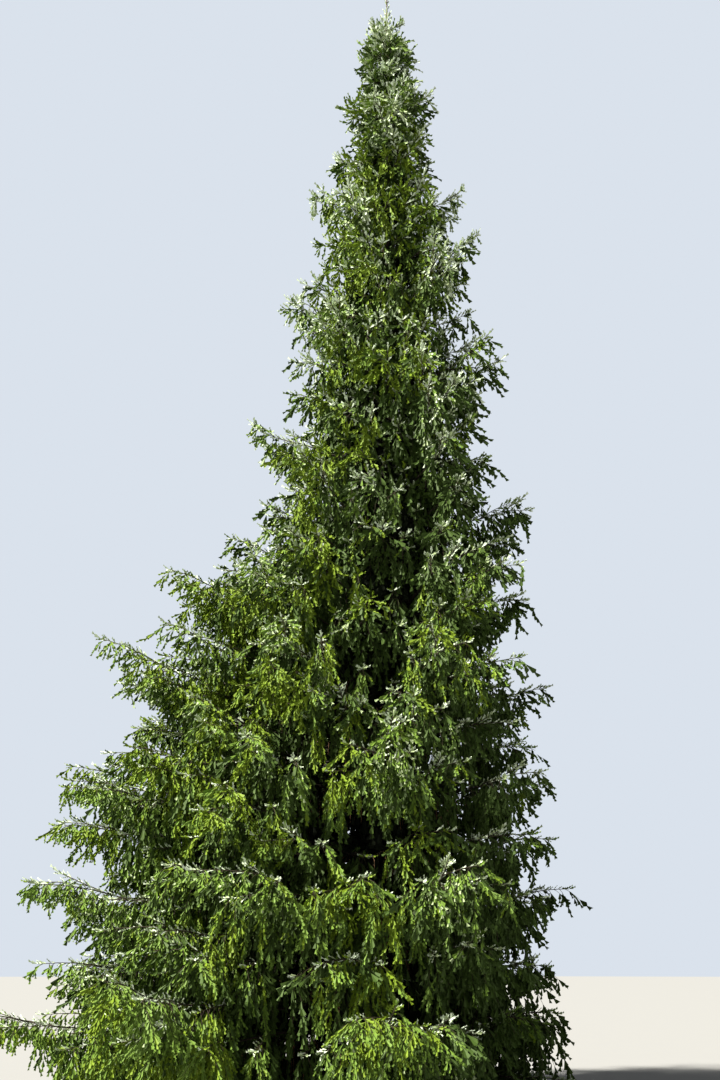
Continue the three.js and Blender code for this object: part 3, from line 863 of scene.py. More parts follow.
def curtain_shoots(shape, strands, random):
    """Side shoots of the hanging twigs, and most of those carry one or two more."""
    high = strands["attach"] / HEIGHT
    spacing = shape.shoot_spacing * mix(*SHOOTS_LOOSEN, high)
    found = shoots_on(strands["paths"], spacing, random, *CURTAIN_SPAN, CURTAIN_FORM)
    fresh = ~strands["dead"][found[0]]
    index, u, place, forward, up = (column[fresh] for column in found)
    high = high[index]
    low_down, halfway, at_top = CURTAIN_RISE
    rise = mix(mix(low_down, halfway, ramp(high, 0, 0.5)), at_top, ramp(high, *RISING))
    rise = rise[:, None] * UP
    forward = unit(forward + rise)
    length = shoot_lengths(shape, place, random)
    from_luck, by_place = SPRAY_BY_PLACE
    spray = np.clip(strands["luck"][index] + from_luck + by_place * u, 0, 1)
    for share, rooted, bend in BRANCHINGS:
        attach, t = strands["attach"][index], strands["place"][index]
        yield shoots(place, forward, up, length, attach, t, spray, CURTAIN)
        outer = ramp(radial_share(place, attach), *BRANCHED_FROM)
        stays = random.random(len(u)) < share * outer * mix(1.0, 0.5, u)
        place = (place + forward * (rooted * length)[:, None])[stays]
        index, u, spray, rise, up = (column[stays] for column in (index, u, spray, rise, up))
        turn = np.where(random.random(len(u)) < 0.5, -bend, bend)[:, None]
        forward = forward[stays]
        forward = unit(forward + np.cross(forward, up) * turn + BRANCHED_RISE * rise)
        length = shoot_lengths(shape, place, random) * BRANCHED_LENGTH
    attach, t = strands["attach"][index], strands["place"][index]
    yield shoots(place, forward, up, length, attach, t, spray, CURTAIN)


def end_shoots(shape, strands, random):
    """The shoot at the end of each hanging twig."""
    live = np.flatnonzero(~strands["dead"])
    ends, along = strands["paths"].at(live, np.ones(len(live)))
    sideways = unit(random.random((len(live), 3)) - 0.5)
    length = shoot_lengths(shape, ends, random) * END_LENGTH
    attach, t, luck = (strands[name][live] for name in ("attach", "place", "luck"))
    yield shoots(ends, along, sideways, length, attach, t, luck, CURTAIN)


def ridge_shoots(shape, limbs, start, looser, growth, random):
    """The shoots along the ridges of boughs or side twigs, paler on top, partly as a painted highlight,
    and greener on their flanks.
    """
    spacing = shape.ridge_spacing * looser
    most_above, least_below = RIDGE_LUCK
    index, u, place, forward, up = shoots_on(limbs["paths"], spacing, random, start, 1.0, RIDGE_FORM)
    length = shoot_lengths(shape, place, random) * RIDGE_LENGTH
    t = np.clip(limbs["place"][index] + growth * u, 0, 1)
    luck = random.random(len(u))
    spray = np.where(up[:, 2] > RIDGE_UPRIGHT, most_above * luck, mix(least_below, 1, luck))
    yield shoots(place, forward, up, length, limbs["attach"][index], t, spray, RIDGE)


def tip_shoots(shape, limbs, count, size, random):
    """The upturned ends of boughs or side twigs: a middle shoot and pairs of side shoots."""
    paths = limbs["paths"]
    index = np.repeat(np.arange(len(paths.points)), count)
    k = np.arange(len(index)) % count
    behind = END_STEP * ((k + 1) // 2) / np.maximum(0.5, paths.lengths()[index])
    place, along = paths.at(index, 1.0 - behind)
    side = np.where(k % 2, END_SPREAD, -END_SPREAD) * (k > 0)
    forward = unit(along + unit(np.cross(along, UP)) * side[:, None] + UP * END_LIFT)
    length = shoot_lengths(shape, place, random) * size * mix(1.0, END_SIDE_LENGTH, k > 0)
    up, t = np.tile(UP, (len(index), 1)), np.ones(len(index))
    yield shoots(place, forward, up, length, limbs["attach"][index], t, random.random(len(index)), TIP)


def leader_shoots(shape, random):
    """Upright shoots close round the leader."""
    (close, apart_by), (crowded, ends) = LEADER_SPACINGS, LEADER_ENDS
    z = np.arange(LEADER_FROM, HEIGHT - crowded, close)
    z = np.append(z, np.arange(z[-1], HEIGHT - ends, apart_by))
    angle = GOLDEN_ANGLE * np.arange(len(z))
    out = np.stack([np.cos(angle), np.sin(angle), 0 * z], axis=1)
    wide = LEADER_WIDTH * smooth((HEIGHT - z) / LEADER_FADES_OVER) * random.random(len(z))
    place = np.stack([axis_x(z), 0 * z, z], axis=1) + out * wide[:, None]
    forward = unit(out * LEADER_OPENING + UP)
    length = shoot_lengths(shape, place, random)
    attach, t = np.minimum(z, HEIGHT - LEADER_ATTACHED), np.ones(len(z))
    yield shoots(place, forward, out, length, attach, t, random.random(len(z)), LEADER)


def shoot_table(crown, shape):
    """Every shoot: place, direction, up, length, bough's height, how far along, spray and role."""
    random = np.random.default_rng(shape.seed + SHOOT_SEED)
    boughs, twigs, strands = crown["boughs"], crown["twigs"], crown["strands"]
    tables = [
        *curtain_shoots(shape, strands, random),
        *end_shoots(shape, strands, random),
        *ridge_shoots(shape, boughs, boughs["begins"], *BOUGH_RIDGE, random),
        *ridge_shoots(shape, twigs, TWIG_FOLIAGE_FROM, *TWIG_RIDGE, random),
        *tip_shoots(shape, boughs, *BOUGH_END, random),
        *tip_shoots(shape, twigs, *TWIG_END, random),
        *leader_shoots(shape, random),
    ]
    return [np.concatenate(column) for column in zip(*tables)]


def kinds_of(place, attach, t, spray, role, random):
    """Which kind each shoot is: silver ends and ridges, green curtains, painted shade inside, under the
    layers and on the right.
    """
    share = radial_share(place, attach)
    high = place[:, 2] / HEIGHT
    outer, topmost, low = ramp(share, *OUTER), ramp(high, *TOPMOST), 1 - ramp(high, *ABOVE_LOW)
    inner = 1 - ramp(high, *BELOW_SPIRE)
    azimuth = np.arctan2(place[:, 1], place[:, 0])
    # Painted shade on the crown's right, away from the key light: fewer pale and sunlit shoots, more
    # deep green
    shaded_right = smooth(0.5 + RIGHT_SHARPNESS * np.sin(azimuth + RIGHT_TURN))
    shaded_right_low = shaded_right * (1 - topmost)
    at_end = role >= TIP

    ridges = np.where(role == RIDGE, SILVER_RIDGES * ramp(t, *ALONG_BOUGH), 0.0)
    limbs = np.where(at_end, SILVER_ENDS, ridges) * mix(1.0, np.where(at_end, SILVER_ENDS_LOW, 1.0), low)
    silver = topmost * mix(*SILVER_OUTWARD, outer) * SILVER_TOPMOST + limbs
    silver = silver * mix(*SILVER_RIGHT, shaded_right_low)
    everywhere, left = FROST_OUTER
    curtains = (everywhere + left * (1 - shaded_right) * (1 - low)) * outer
    frost = mix(*FROST_TOPMOST, topmost * mix(*FROST_OUTWARD, outer))
    frost = frost + np.where(role > CURTAIN, FROST_LIMBS, curtains)
    sunlit = mix(*SUNLIT_TOPMOST, topmost) * mix(*SUNLIT_LOW, low)
    sunlit = sunlit * mix(*SUNLIT_TOP_EDGE, topmost * outer)
    sunlit = sunlit * mix(*SUNLIT_RIGHT, shaded_right * (1 - SUNLIT_RIGHT_TOPMOST * topmost))

    patch = contrast(value_noise(place * PATCHES + PATCH_SHIFT, PATCH_SEED), PATCH_CONTRAST)
    by_patch, by_spray, by_shoot = DRAW_WEIGHTS
    draw = by_patch * patch + by_spray * spray + by_shoot * random.random(len(high))
    draw = contrast(np.clip(draw, 0, 1), DRAW_CONTRAST)
    kind = np.full(len(high), LEAF)
    kind[draw < silver + frost] = FROST
    kind[draw < silver] = SILVER
    kind[draw > 1 - sunlit] = SUNLIT

    kind[(share < mix(*DEEP_SHADE_WITHIN, topmost) * inner) & (role <= RIDGE)] = DEEP_SHADE
    # Painted shade under the layers: curtains on a bough's outer half, short of the crown's edge and
    # below the top
    hung_shade = ramp(t, *OUTER_HALF) * (1 - ramp(share, *NEAR_EDGE)) * (1 - topmost)
    band = mix(*BAND, topmost) + BAND_RIGHT * shaded_right_low + BAND_HUNG * hung_shade
    banded = (role == CURTAIN) & (abs(draw - BAND_AT) < band)
    within, further_right = BANDED_WITHIN
    kind[banded & (share < within + further_right * shaded_right_low)] = DEEP_SHADE
    kind[share < mix(*SHADE_WITHIN, topmost) * inner] = SHADE
    kind[(role == LEADER) & (kind >= DEEP_SHADE)] = FROST
    whole = np.where(at_end, WHITE_ENDS * mix(*WHITE_ENDS_LOW, low), mix(*WHITE_RIDGES, low))
    whole = whole * (role < LEADER) * mix(*WHITE_RIGHT, shaded_right_low)
    kind[(kind == SILVER) & (role > CURTAIN) & (random.random(len(high)) < whole)] = WHITE
    return kind


def spray_sizes(place, length, kind, role):
    """Length and width of each spray, and the share of its kind that stays."""
    high = place[:, 2] / HEIGHT
    stay, larger = np.ones(len(kind)), np.ones(len(kind))
    for thinned, (share, growth) in THINNED.items():
        stay[kind == thinned], larger[kind == thinned] = share, growth
    upper = ramp(high, *UPPER)
    stay = mix(stay, 1.0, UPPER_STAYS * upper)
    length = length * mix(larger, mix(1, larger, UPPER_GROWTH), upper)
    slim = (role == RIDGE) & (kind != SHADE)
    wide = np.where(role > CURTAIN, END_WIDTH, 1.0)
    thin = np.where(slim, mix(*SLIM, ramp(high, 0, SLIM_UP_TO)), wide)
    return length, length * mix(*WIDTH_BY_HEIGHT, smooth(high)) * thin, stay


def within_crown(place, tip, attach, wide):
    """The shoots that stay within the crown's limit and in the box around it."""
    low, high = np.array(CAD_BOX)
    around = OUTSIDE_SHARE * (high - low) * FLAT
    inside = np.minimum(tip, place) - wide > low - around
    inside &= np.maximum(tip, place) + wide < high + around
    return inside.all(axis=1) & (radial_share(tip, attach) < crown_limit(attach))


def split_by_height(z, limit):
    order = np.argsort(z, kind="stable")
    return np.array_split(order, max(1, math.ceil(len(order) / limit)))


# Nodes, for Geometry Nodes, the world and materials alike


def feed(tree, socket, value):
    """Links a value to a socket, or sets it; a colour is given its opacity."""
    value = value.socket if isinstance(value, Value) else value
    if isinstance(value, bpy.types.NodeSocket):
        tree.links.new(value, socket)
    elif isinstance(value, tuple) and len(value) == 3 and socket.type == "RGBA":
        socket.default_value = (*value, 1)
    else:
        socket.default_value = value


def add_node(tree, kind, settings, values):
    """A node with its settings, or its ramp's stops, and then the values or links of its inputs."""
    made = tree.nodes.new(kind)
    for name, value in settings.items():
        if name == "stops":
            elements = made.color_ramp.elements
            while len(elements) < len(value):
                elements.new(0.5)
            for element, (position, colour) in zip(elements, value):
                element.position, element.color = position, (*colour, 1)
        else:
            setattr(made, name, value)
    for name, value in values.items():
        feed(tree, made.inputs[name], value)
    return made


NEEDLE_INPUTS = {
    "Geometry": "Geometry",
    "Spray": "Object",
    "Width share": "Float",
    "Unevenness": "Float",
    "Seed": "Int",
    "Finish": "Material",
}


def needle_tree():
    """Geometry Nodes that stand a needle spray on every point of a crown."""
    tree = bpy.data.node_groups.new("Needle sprays on shoots", "GeometryNodeTree")
    for name, kind in NEEDLE_INPUTS.items():
        tree.interface.new_socket(name, in_out="INPUT", socket_type="NodeSocket" + kind)
    tree.interface.new_socket("Geometry", in_out="OUTPUT", socket_type="NodeSocketGeometry")
    entry = tree.nodes.new("NodeGroupInput").outputs
    leave = tree.nodes.new("NodeGroupOutput")

    def node(kind, settings, values, output=0):
        return add_node(tree, kind, settings, values).outputs[output]

    def maths(operation, first, second):
        return node("ShaderNodeMath", {"operation": operation}, {0: first, 1: second})

    def at_points(name, kind):
        return node("GeometryNodeInputNamedAttribute", {"data_type": kind}, {"Name": name}, "Attribute")

    lowest = maths("SUBTRACT", 1, entry["Unevenness"])
    highest = maths("ADD", 1, entry["Unevenness"])
    # the random node's second pair of inputs and its second output are its plain numbers
    bounds = {2: lowest, 3: highest, "Seed": entry["Seed"]}
    uneven = node("FunctionNodeRandomValue", {"data_type": "FLOAT"}, bounds, 1)
    wide = maths("MULTIPLY", entry["Width share"], at_points("across", "FLOAT"))
    girth = maths("MULTIPLY", wide, uneven)
    scale = node("ShaderNodeCombineXYZ", {}, {0: girth, 1: girth, 2: at_points("size", "FLOAT")})
    spray = node("GeometryNodeObjectInfo", {}, {"Object": entry["Spray"]}, "Geometry")
    stood = {
        "Points": entry["Geometry"],
        "Instance": spray,
        "Rotation": at_points("turn", "QUATERNION"),
        "Scale": scale,
    }
    stand = node("GeometryNodeInstanceOnPoints", {}, stood)
    real = node("GeometryNodeRealizeInstances", {}, {0: stand})
    painted = {"Geometry": real, "Material": entry["Finish"]}
    feed(tree, leave.inputs[0], node("GeometryNodeSetMaterial", {}, painted))
    return tree


def set_input(modifier, name, value):
    for item in modifier.node_group.interface.items_tree:
        if item.item_type == "SOCKET" and item.in_out == "INPUT" and item.name == name:
            modifier[item.identifier] = value


def needle_piece(name, tree, place, attributes, inputs, finish):
    """One mesh of needle sprays on points, whose attributes are given by name."""
    cloud = bpy.data.meshes.new(name + "_points")
    cloud.vertices.add(len(place))
    cloud.vertices.foreach_set("co", place.astype(np.float32).ravel())
    for label, values in attributes.items():
        kind = "QUATERNION" if values.ndim > 1 else "FLOAT"
        made = cloud.attributes.new(label, kind, "POINT")
        made.data.foreach_set("value", values.astype(np.float32).ravel())
    holder = stand(name, cloud)
    modifier = holder.modifiers.new("sprays", "NODES")
    modifier.node_group = tree
    for label, value in {**inputs, "Finish": finish}.items():
        set_input(modifier, label, value)
    holder.update_tag()
    seen = holder.evaluated_get(bpy.context.evaluated_depsgraph_get())
    mesh = bpy.data.meshes.new_from_object(seen)
    holder.modifiers.remove(modifier)
    for label in attributes:
        if label in mesh.attributes:
            mesh.attributes.remove(mesh.attributes[label])
    holder.data = mesh
    mesh.name = name
    bpy.data.meshes.remove(cloud)
    mesh.materials.clear()
    mesh.materials.append(finish)
    return holder


# Meshes from arrays


def stand(name, data):
    """A new object in the scene."""
    made = bpy.data.objects.new(name, data)
    bpy.context.scene.collection.objects.link(made)
    return made


def mesh_piece(name, points, faces, finish, smooth_faces=True):
    mesh = bpy.data.meshes.new(name)
    mesh.vertices.add(len(points))
    mesh.vertices.foreach_set("co", points.astype(np.float32).ravel())
    sides = faces.shape[1]
    mesh.loops.add(faces.size)
    mesh.loops.foreach_set("vertex_index", faces.astype(np.int32).ravel())
    mesh.polygons.add(len(faces))
    mesh.polygons.foreach_set("loop_start", np.arange(0, faces.size, sides, dtype=np.int32))
    mesh.polygons.foreach_set("use_smooth", np.full(len(faces), smooth_faces))
    mesh.update(calc_edges=True)
    mesh.validate()
    mesh.materials.append(finish)
    return stand(name, mesh)


def tubes(paths, radii, sides, relief=None):
    """Closed tapering limbs along lines. radii has one number for each point of each line."""
    n, k, _ = paths.shape
    along = unit(np.gradient(paths, axis=1))
    steep = np.abs(along[..., 2:3]) > STEEP
    across = unit(np.cross(along, np.where(steep, np.array([1.0, 0, 0]), UP)))
    over = np.cross(across, along)
    angle = TURN * np.arange(sides) / sides
    ring = across[:, :, None, :] * np.cos(angle)[:, None] + over[:, :, None, :] * np.sin(angle)[:, None]
    width = radii[:, :, None, None]
    if relief is not None:
        width = width * (1 + relief(paths, angle)[..., None])
    points = paths[:, :, None, :] + ring * width
    foot = np.arange(n)[:, None] * k * sides
    walls = ring_faces(foot[:, :, None] + np.arange(k - 1)[:, None] * sides, sides)
    fan = np.arange(1, sides - 1)
    top = foot + (k - 1) * sides
    feet = np.stack([foot + 0 * fan, foot + fan, foot + fan + 1], axis=-1).reshape(-1, 3)
    tops = np.stack([top + 0 * fan, top + fan + 1, top + fan], axis=-1).reshape(-1, 3)
    return points.reshape(-1, 3), np.concatenate([walls, feet, tops])


def ring_faces(first, sides):
    """Triangles between each ring of points and the next, for the first point of each ring."""
    i = np.arange(sides)
    a, b = first + i, first + (i + 1) % sides
    quads = np.stack([a, a + sides, b + sides, b], axis=-1).reshape(-1, 4)
    return np.concatenate([quads[:, [0, 1, 2]], quads[:, [0, 2, 3]]])


# Finishes


class Value:
    """A number socket of a material, so that sums of sockets read as plain sums."""

    def __init__(self, finish, socket):
        self.finish, self.socket = finish, socket

    def _with(self, operation, first, second):
        return self.finish.number("ShaderNodeMath", {"operation": operation}, {0: first, 1: second})

    def __add__(self, other):
        return self._with("ADD", self, other)

    def __mul__(self, other):
        return self._with("MULTIPLY", self, other)

    def __sub__(self, other):
        return self._with("SUBTRACT", self, other)

    def __rsub__(self, other):
        return self._with("SUBTRACT", other, self)

    __radd__ = __add__
    __rmul__ = __mul__


class Finish:
    """A material that is built node by node around one principled shader."""

    def __init__(self, name):
        self.material = bpy.data.materials.new(name)
        self.material.use_nodes = True
        self.tree = self.material.node_tree
        self.tree.nodes.clear()
        self.shader = self.node("ShaderNodeBsdfPrincipled", {}, {})
        self.node("ShaderNodeOutputMaterial", {}, {"Surface": self.shader.outputs[0]})
        self.place = self.node("ShaderNodeTexCoord", {}, {}).outputs["Object"]

    def node(self, kind, settings, values):
        return add_node(self.tree, kind, settings, values)

    def number(self, kind, settings, values, output=0):
        return Value(self, self.node(kind, settings, values).outputs[output])

    def noise(self, scale, detail):
        """Uneven patches, from 0 to 1; scale is about how many there are in a metre."""
        values = {"Vector": self.place, "Scale": scale, "Detail": detail}
        values["Roughness"] = NOISE_ROUGHNESS
        return self.number("ShaderNodeTexNoise", {}, values, "Fac")

    def stretched(self, scale):
        return self.node("ShaderNodeMapping", {}, {"Vector": self.place, "Scale": scale}).outputs[0]

    def blend(self, factor, a, b):
        """A colour between a and b; the mix node's sockets for colours have these numbers."""
        settings = {"data_type": "RGBA", "clamp_factor": True}
        return self.node("ShaderNodeMix", settings, {0: factor, 6: a, 7: b}).outputs[2]

    def wear(self, **values):
        """Gives the shader's sockets their values or links."""
        for name, value in values.items():
            feed(self.tree, self.shader.inputs[name.replace("_", " ")], value)

    def relief(self, height, distance):
        bump = self.node("ShaderNodeBump", {}, {"Height": height, "Distance": distance, "Strength": 1})
        self.wear(Normal=bump.outputs["Normal"])


def bark_finish(name, plates, cracks, warm, plate_scale, depth):
    """Scaly bark: dark cracks between plates, with warm weathered patches and a fine grain."""
    finish = Finish(name)
    cells = {
        "Vector": finish.stretched((plate_scale, plate_scale, plate_scale * PLATE_HEIGHT_SHARE)),
        "Scale": 1.0,
        "Randomness": PLATE_LOOSENESS,
    }
    edge = finish.number("ShaderNodeTexVoronoi", {"feature": "DISTANCE_TO_EDGE"}, cells, "Distance")
    stops = list(zip(CRACK_WIDTHS, ((0, 0, 0), (1, 1, 1))))
    plate = finish.node("ShaderNodeValToRGB", {"stops": stops}, {"Fac": edge}).outputs[0]
    (finer, detail), (coarser, soft) = GRAIN, WEATHER
    grain, weather = finish.noise(plate_scale * finer, detail), finish.noise(plate_scale * coarser, soft)
    base = finish.blend(plate, cracks, plates)
    base = finish.blend(weather * WARM_MASK[0] - WARM_MASK[1], base, warm)
    base = finish.blend(grain * DARK_MASK[0] - DARK_MASK[1], base, tuple(DARK_SHARE * c for c in plates))
    finish.wear(Base_Color=base, Roughness=BARK_ROUGHNESS[0] + grain * BARK_ROUGHNESS[1])
    raised = finish.number("ShaderNodeRGBToBW", {}, {"Color": plate})
    finish.relief(raised * BARK_HEIGHTS[0] + grain * BARK_HEIGHTS[1], depth)
    return finish.material


def needle_finish(name, colour):
    """A waxy green, a little uneven from shoot to shoot."""
    finish = Finish(name)
    patch, fleck = finish.noise(*NEEDLE_PATCH), finish.noise(*NEEDLE_FLECK)
    darker = tuple(c * (1 - NEEDLE_SPREAD) for c in colour)
    lighter = tuple(min(1.0, c * (1 + NEEDLE_SPREAD)) for c in colour)
    by_patch, by_fleck, less = NEEDLE_MASK
    base = finish.blend(patch * by_patch + fleck * by_fleck - less, darker, lighter)
    finish.wear(Base_Color=base, Roughness=NEEDLE_ROUGHNESS[0] + fleck * NEEDLE_ROUGHNESS[1])
    finish.wear(**NEEDLE_WAX)
    return finish.material


# Sizes and colours that a user would change


def length_value(name, description, default):
    return bpy.props.FloatProperty(
        name=name, description=description, default=default, min=0.001, max=30.0, unit="LENGTH"
    )


def colour_value(name, description, default):
    return bpy.props.FloatVectorProperty(
        name=name, description=description, default=default, size=3, min=0, max=1, subtype="COLOR"
    )


class SpruceShape(bpy.types.PropertyGroup):
    """Sizes of the finer growth."""

    seed: bpy.props.IntProperty(
        name="Seed", description="The number that the unevenness grows from", default=20, min=1
    )
    bough_spacing: length_value(
        "Bough spacing", "Between the boughs of a level, halfway out", 0.78
    )
    twig_spacing: length_value("Twig spacing", "Between the side twigs of a bough", 0.34)
    strand_spacing: length_value("Strand spacing", "Between the hanging twigs of a limb", 0.074)
    shoot_spacing: length_value("Shoot spacing", "Between the shoots of a hanging twig", 0.047)
    ridge_spacing: length_value("Ridge shoot spacing", "Between the shoots along a limb", 0.037)
    hang_low: length_value("Hang low down", "Length of the hanging twigs at the ground", 0.8)
    hang_mid: length_value("Hang above that", "Length of the hanging twigs at four metres", 0.46)
    hang_high: length_value("Hang high up", "Length of the hanging twigs at the top", 0.24)
    shoot_length: length_value("Shoot length", "Length of a needle-covered shoot", 0.13)
    width_share: bpy.props.FloatProperty(
        name="Width share",
        description="Width across a shoot's needles, as a share of its length",
        default=0.37,
        min=0.05,
        max=2,
        subtype="FACTOR",
    )


class SpruceColours(bpy.types.PropertyGroup):
    """Colours of the needles, the bark and the stage."""

    silver: colour_value("Silver", "The palest, bluish-white shoots", (0.62, 0.71, 0.56))
    frost: colour_value("Frosted green", "Grey-green shoots", (0.33, 0.41, 0.22))
    leaf: colour_value("Green", "Plain green shoots", (0.116, 0.198, 0.024))
    sunlit: colour_value("Yellow-green", "Shoots of the lit curtains", (0.14, 0.215, 0.010))
    # Deep green is painted shade: the crown's depth, the curtains under the layers, and the crown's
    # right
    deep: colour_value("Deep green", "Shoots in the crown's depth", (0.043, 0.080, 0.011))
    shade: colour_value("Shaded green", "Shoots close to the trunk", (0.010, 0.017, 0.005))
    bark: colour_value("Bark", "The trunk's lighter plates", (0.12, 0.09, 0.065))
    floor: colour_value("Floor", "The pale floor", (0.33, 0.335, 0.34))


# Operators


def finish_piece(piece, nodes):
    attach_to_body(piece, BODY)
    if nodes:
        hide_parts(*nodes)


def nodes_named(prefix):
    return sorted(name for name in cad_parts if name.startswith(prefix))


class SPRUCE_OT_trunk(bpy.types.Operator):
    """Trunk with its root flare and scaly bark"""

    bl_idname = "spruce.trunk"
    bl_label = "Trunk"

    def execute(self, context):
        z = HEIGHT * np.linspace(0, 1, TRUNK_RINGS) ** TRUNK_RINGS_POWER
        angle = TURN * np.arange(TRUNK_SIDES) / TRUNK_SIDES
        z, angle = np.meshgrid(z, angle, indexing="ij")
        radius = trunk_radius(z) + flare(z, angle)
        round_by, up_by = TRUNK_PLATES
        spot = [np.cos(angle) * radius * round_by, np.sin(angle) * radius * round_by, z * up_by]
        spot = np.stack(spot, axis=-1)
        (finer, share), (first, second) = TRUNK_FINER_PLATES, PLATE_SEEDS
        plates = value_noise(spot, first) + share * value_noise(spot * finer, second) - (0.5 + share / 2)
        plates = plates * np.minimum(1, z / TRUNK_PLATES_FROM) * (z <= HEIGHT - TRUNK_SMOOTH_TOP)
        radius = np.maximum(TRUNK_LEAST_RADIUS, radius * (1 + TRUNK_RELIEF * plates))
        points = np.stack([axis_x(z) + radius * np.cos(angle), radius * np.sin(angle), z], axis=-1)
        points = np.vstack([points.reshape(-1, 3), [0, 0, 0], [LEAN, 0, HEIGHT]])
        foot, top = len(points) - 2, len(points) - 1
        sides = ring_faces(np.arange(TRUNK_RINGS - 1)[:, None] * TRUNK_SIDES, TRUNK_SIDES)[:, ::-1]
        i = np.arange(TRUNK_SIDES)
        j = (i + 1) % TRUNK_SIDES
        last = (TRUNK_RINGS - 1) * TRUNK_SIDES
        caps = [np.stack([j, i, 0 * i + foot], 1), np.stack([last + i, last + j, 0 * i + top], 1)]
        plate_colour = tuple(context.scene.spruce_colours.bark)
        finish = bark_finish("spruce bark", plate_colour, *TRUNK_BARK)
        piece = mesh_piece("trunk_bark", points, np.vstack([sides, *caps]), finish)
        finish_piece(piece, ["trunk"])
        return {"FINISHED"}


class SPRUCE_OT_boughs(bpy.types.Operator):
    """Boughs with rough bark, from the trunk to their tips"""

    bl_idname = "spruce.boughs"
    bl_label = "Boughs"

    def execute(self, context):
        boughs = crown_of(context)["boughs"]
        paths = boughs["paths"].points
        thick = (BOUGH_RADIUS + BOUGH_RADIUS_GROWTH * boughs["reach"]) * boughs["wood"]
        t = np.linspace(0, 1, paths.shape[1])[None, :]
        radii = mix(thick[:, None], BOUGH_TIP_RADIUS, t**BOUGH_TAPER_POWER)

        def relief(line, angle):
            spot = line[:, :, None, :] * BOUGH_LUMPS + np.cos(angle)[:, None] * LUMPS_AROUND
            return BOUGH_RELIEF * (value_noise(spot, RELIEF_SEED) - 0.5)

        points, faces = tubes(paths, radii, BOUGH_SIDES, relief)
        piece = mesh_piece("bough_bark", points, faces, bark_finish("bough bark", *BOUGH_BARK))
        finish_piece(piece, nodes_named("bough_"))
        return {"FINISHED"}


class SPRUCE_OT_twigs(bpy.types.Operator):
    """Side twigs and hanging twigs"""

    bl_idname = "spruce.twigs"
    bl_label = "Twigs"

    def execute(self, context):
        crown = crown_of(context)
        live = bark_finish("twig bark", *TWIG_BARK)
        dry = bark_finish("dead twig bark", *DEAD_BARK)
        dead = crown["strands"]["dead"]
        strands = crown["strands"]["paths"].points
        for name, points, finish in (
            ("side_twigs", crown["twigs"]["paths"].points, live),
            ("hanging_twigs", strands[~dead], live),
            ("dead_twigs", strands[dead], dry),
        ):
            radii, kept = TWIG_RADII[name]
            paths = points[:, kept]
            t = np.linspace(0, 1, paths.shape[1])[None, :]
            points, faces = tubes(paths, np.repeat(mix(*radii, t), len(paths), axis=0), TWIG_SIDES)
            finish_piece(mesh_piece(name, points, faces, finish), nodes_named("foliage_"))
        return {"FINISHED"}


class SPRUCE_OT_needles(bpy.types.Operator):
    """Needle sprays of every colour, by Geometry Nodes"""

    bl_idname = "spruce.needles"
    bl_label = "Needle sprays"

    def execute(self, context):
        shape = context.scene.spruce_shape
        random = np.random.default_rng(shape.seed + KIND_SEED)
        place, forward, up, length, attach, t, spray, role = shoot_table(crown_of(context), shape)
        kind = kinds_of(place, attach, t, spray, role, random)
        length, across, stay = spray_sizes(place, length, kind, role)
        tip = place + forward * (NEEDLE_REACH * length)[:, None]
        keep = within_crown(place, tip, attach, 0.5 * shape.width_share * length[:, None])
        keep &= random.random(len(place)) < stay
        turn = quaternions(forward, up)
        tree = needle_tree()
        tiers = {f"{index + 1:02d}": height for index, height, _ in tier_heights()}
        forms = {name: stand(name, spray_mesh(name, held)) for name, held in SPRAY_FORMS.items()}
        for number, (name, sources) in enumerate(DEALT.items()):
            colour = tuple(getattr(context.scene.spruce_colours, name))
            finish = needle_finish(f"{name} needles", colour)
            for form, source in sources:
                inputs = {
                    "Spray": forms[form],
                    "Width share": shape.width_share,
                    "Unevenness": WIDTH_UNEVENNESS,
                    "Seed": SPRAY_SEED + number,
                }
                chosen = np.flatnonzero(keep & (kind == source))
                limit = PIECE_TRIANGLES // len(forms[form].data.polygons)
                for k, part in enumerate(split_by_height(place[chosen, 2], limit)):
                    rows = chosen[part]
                    attributes = {"turn": turn[rows], "size": length[rows], "across": across[rows]}
                    label = f"needles_{name}_{KINDS[source]}_{k + 1}"
                    piece = needle_piece(label, tree, place[rows], attributes, inputs, finish)
                    low, high = place[rows, 2].min(), place[rows, 2].max()
                    masses = nodes_named("foliage_")
                    nodes = [mass for mass in masses if low <= tiers[mass[TIER_DIGITS]] <= high]
                    finish_piece(piece, nodes)
        for form in forms.values():
            bpy.data.objects.remove(form)
        return {"FINISHED"}


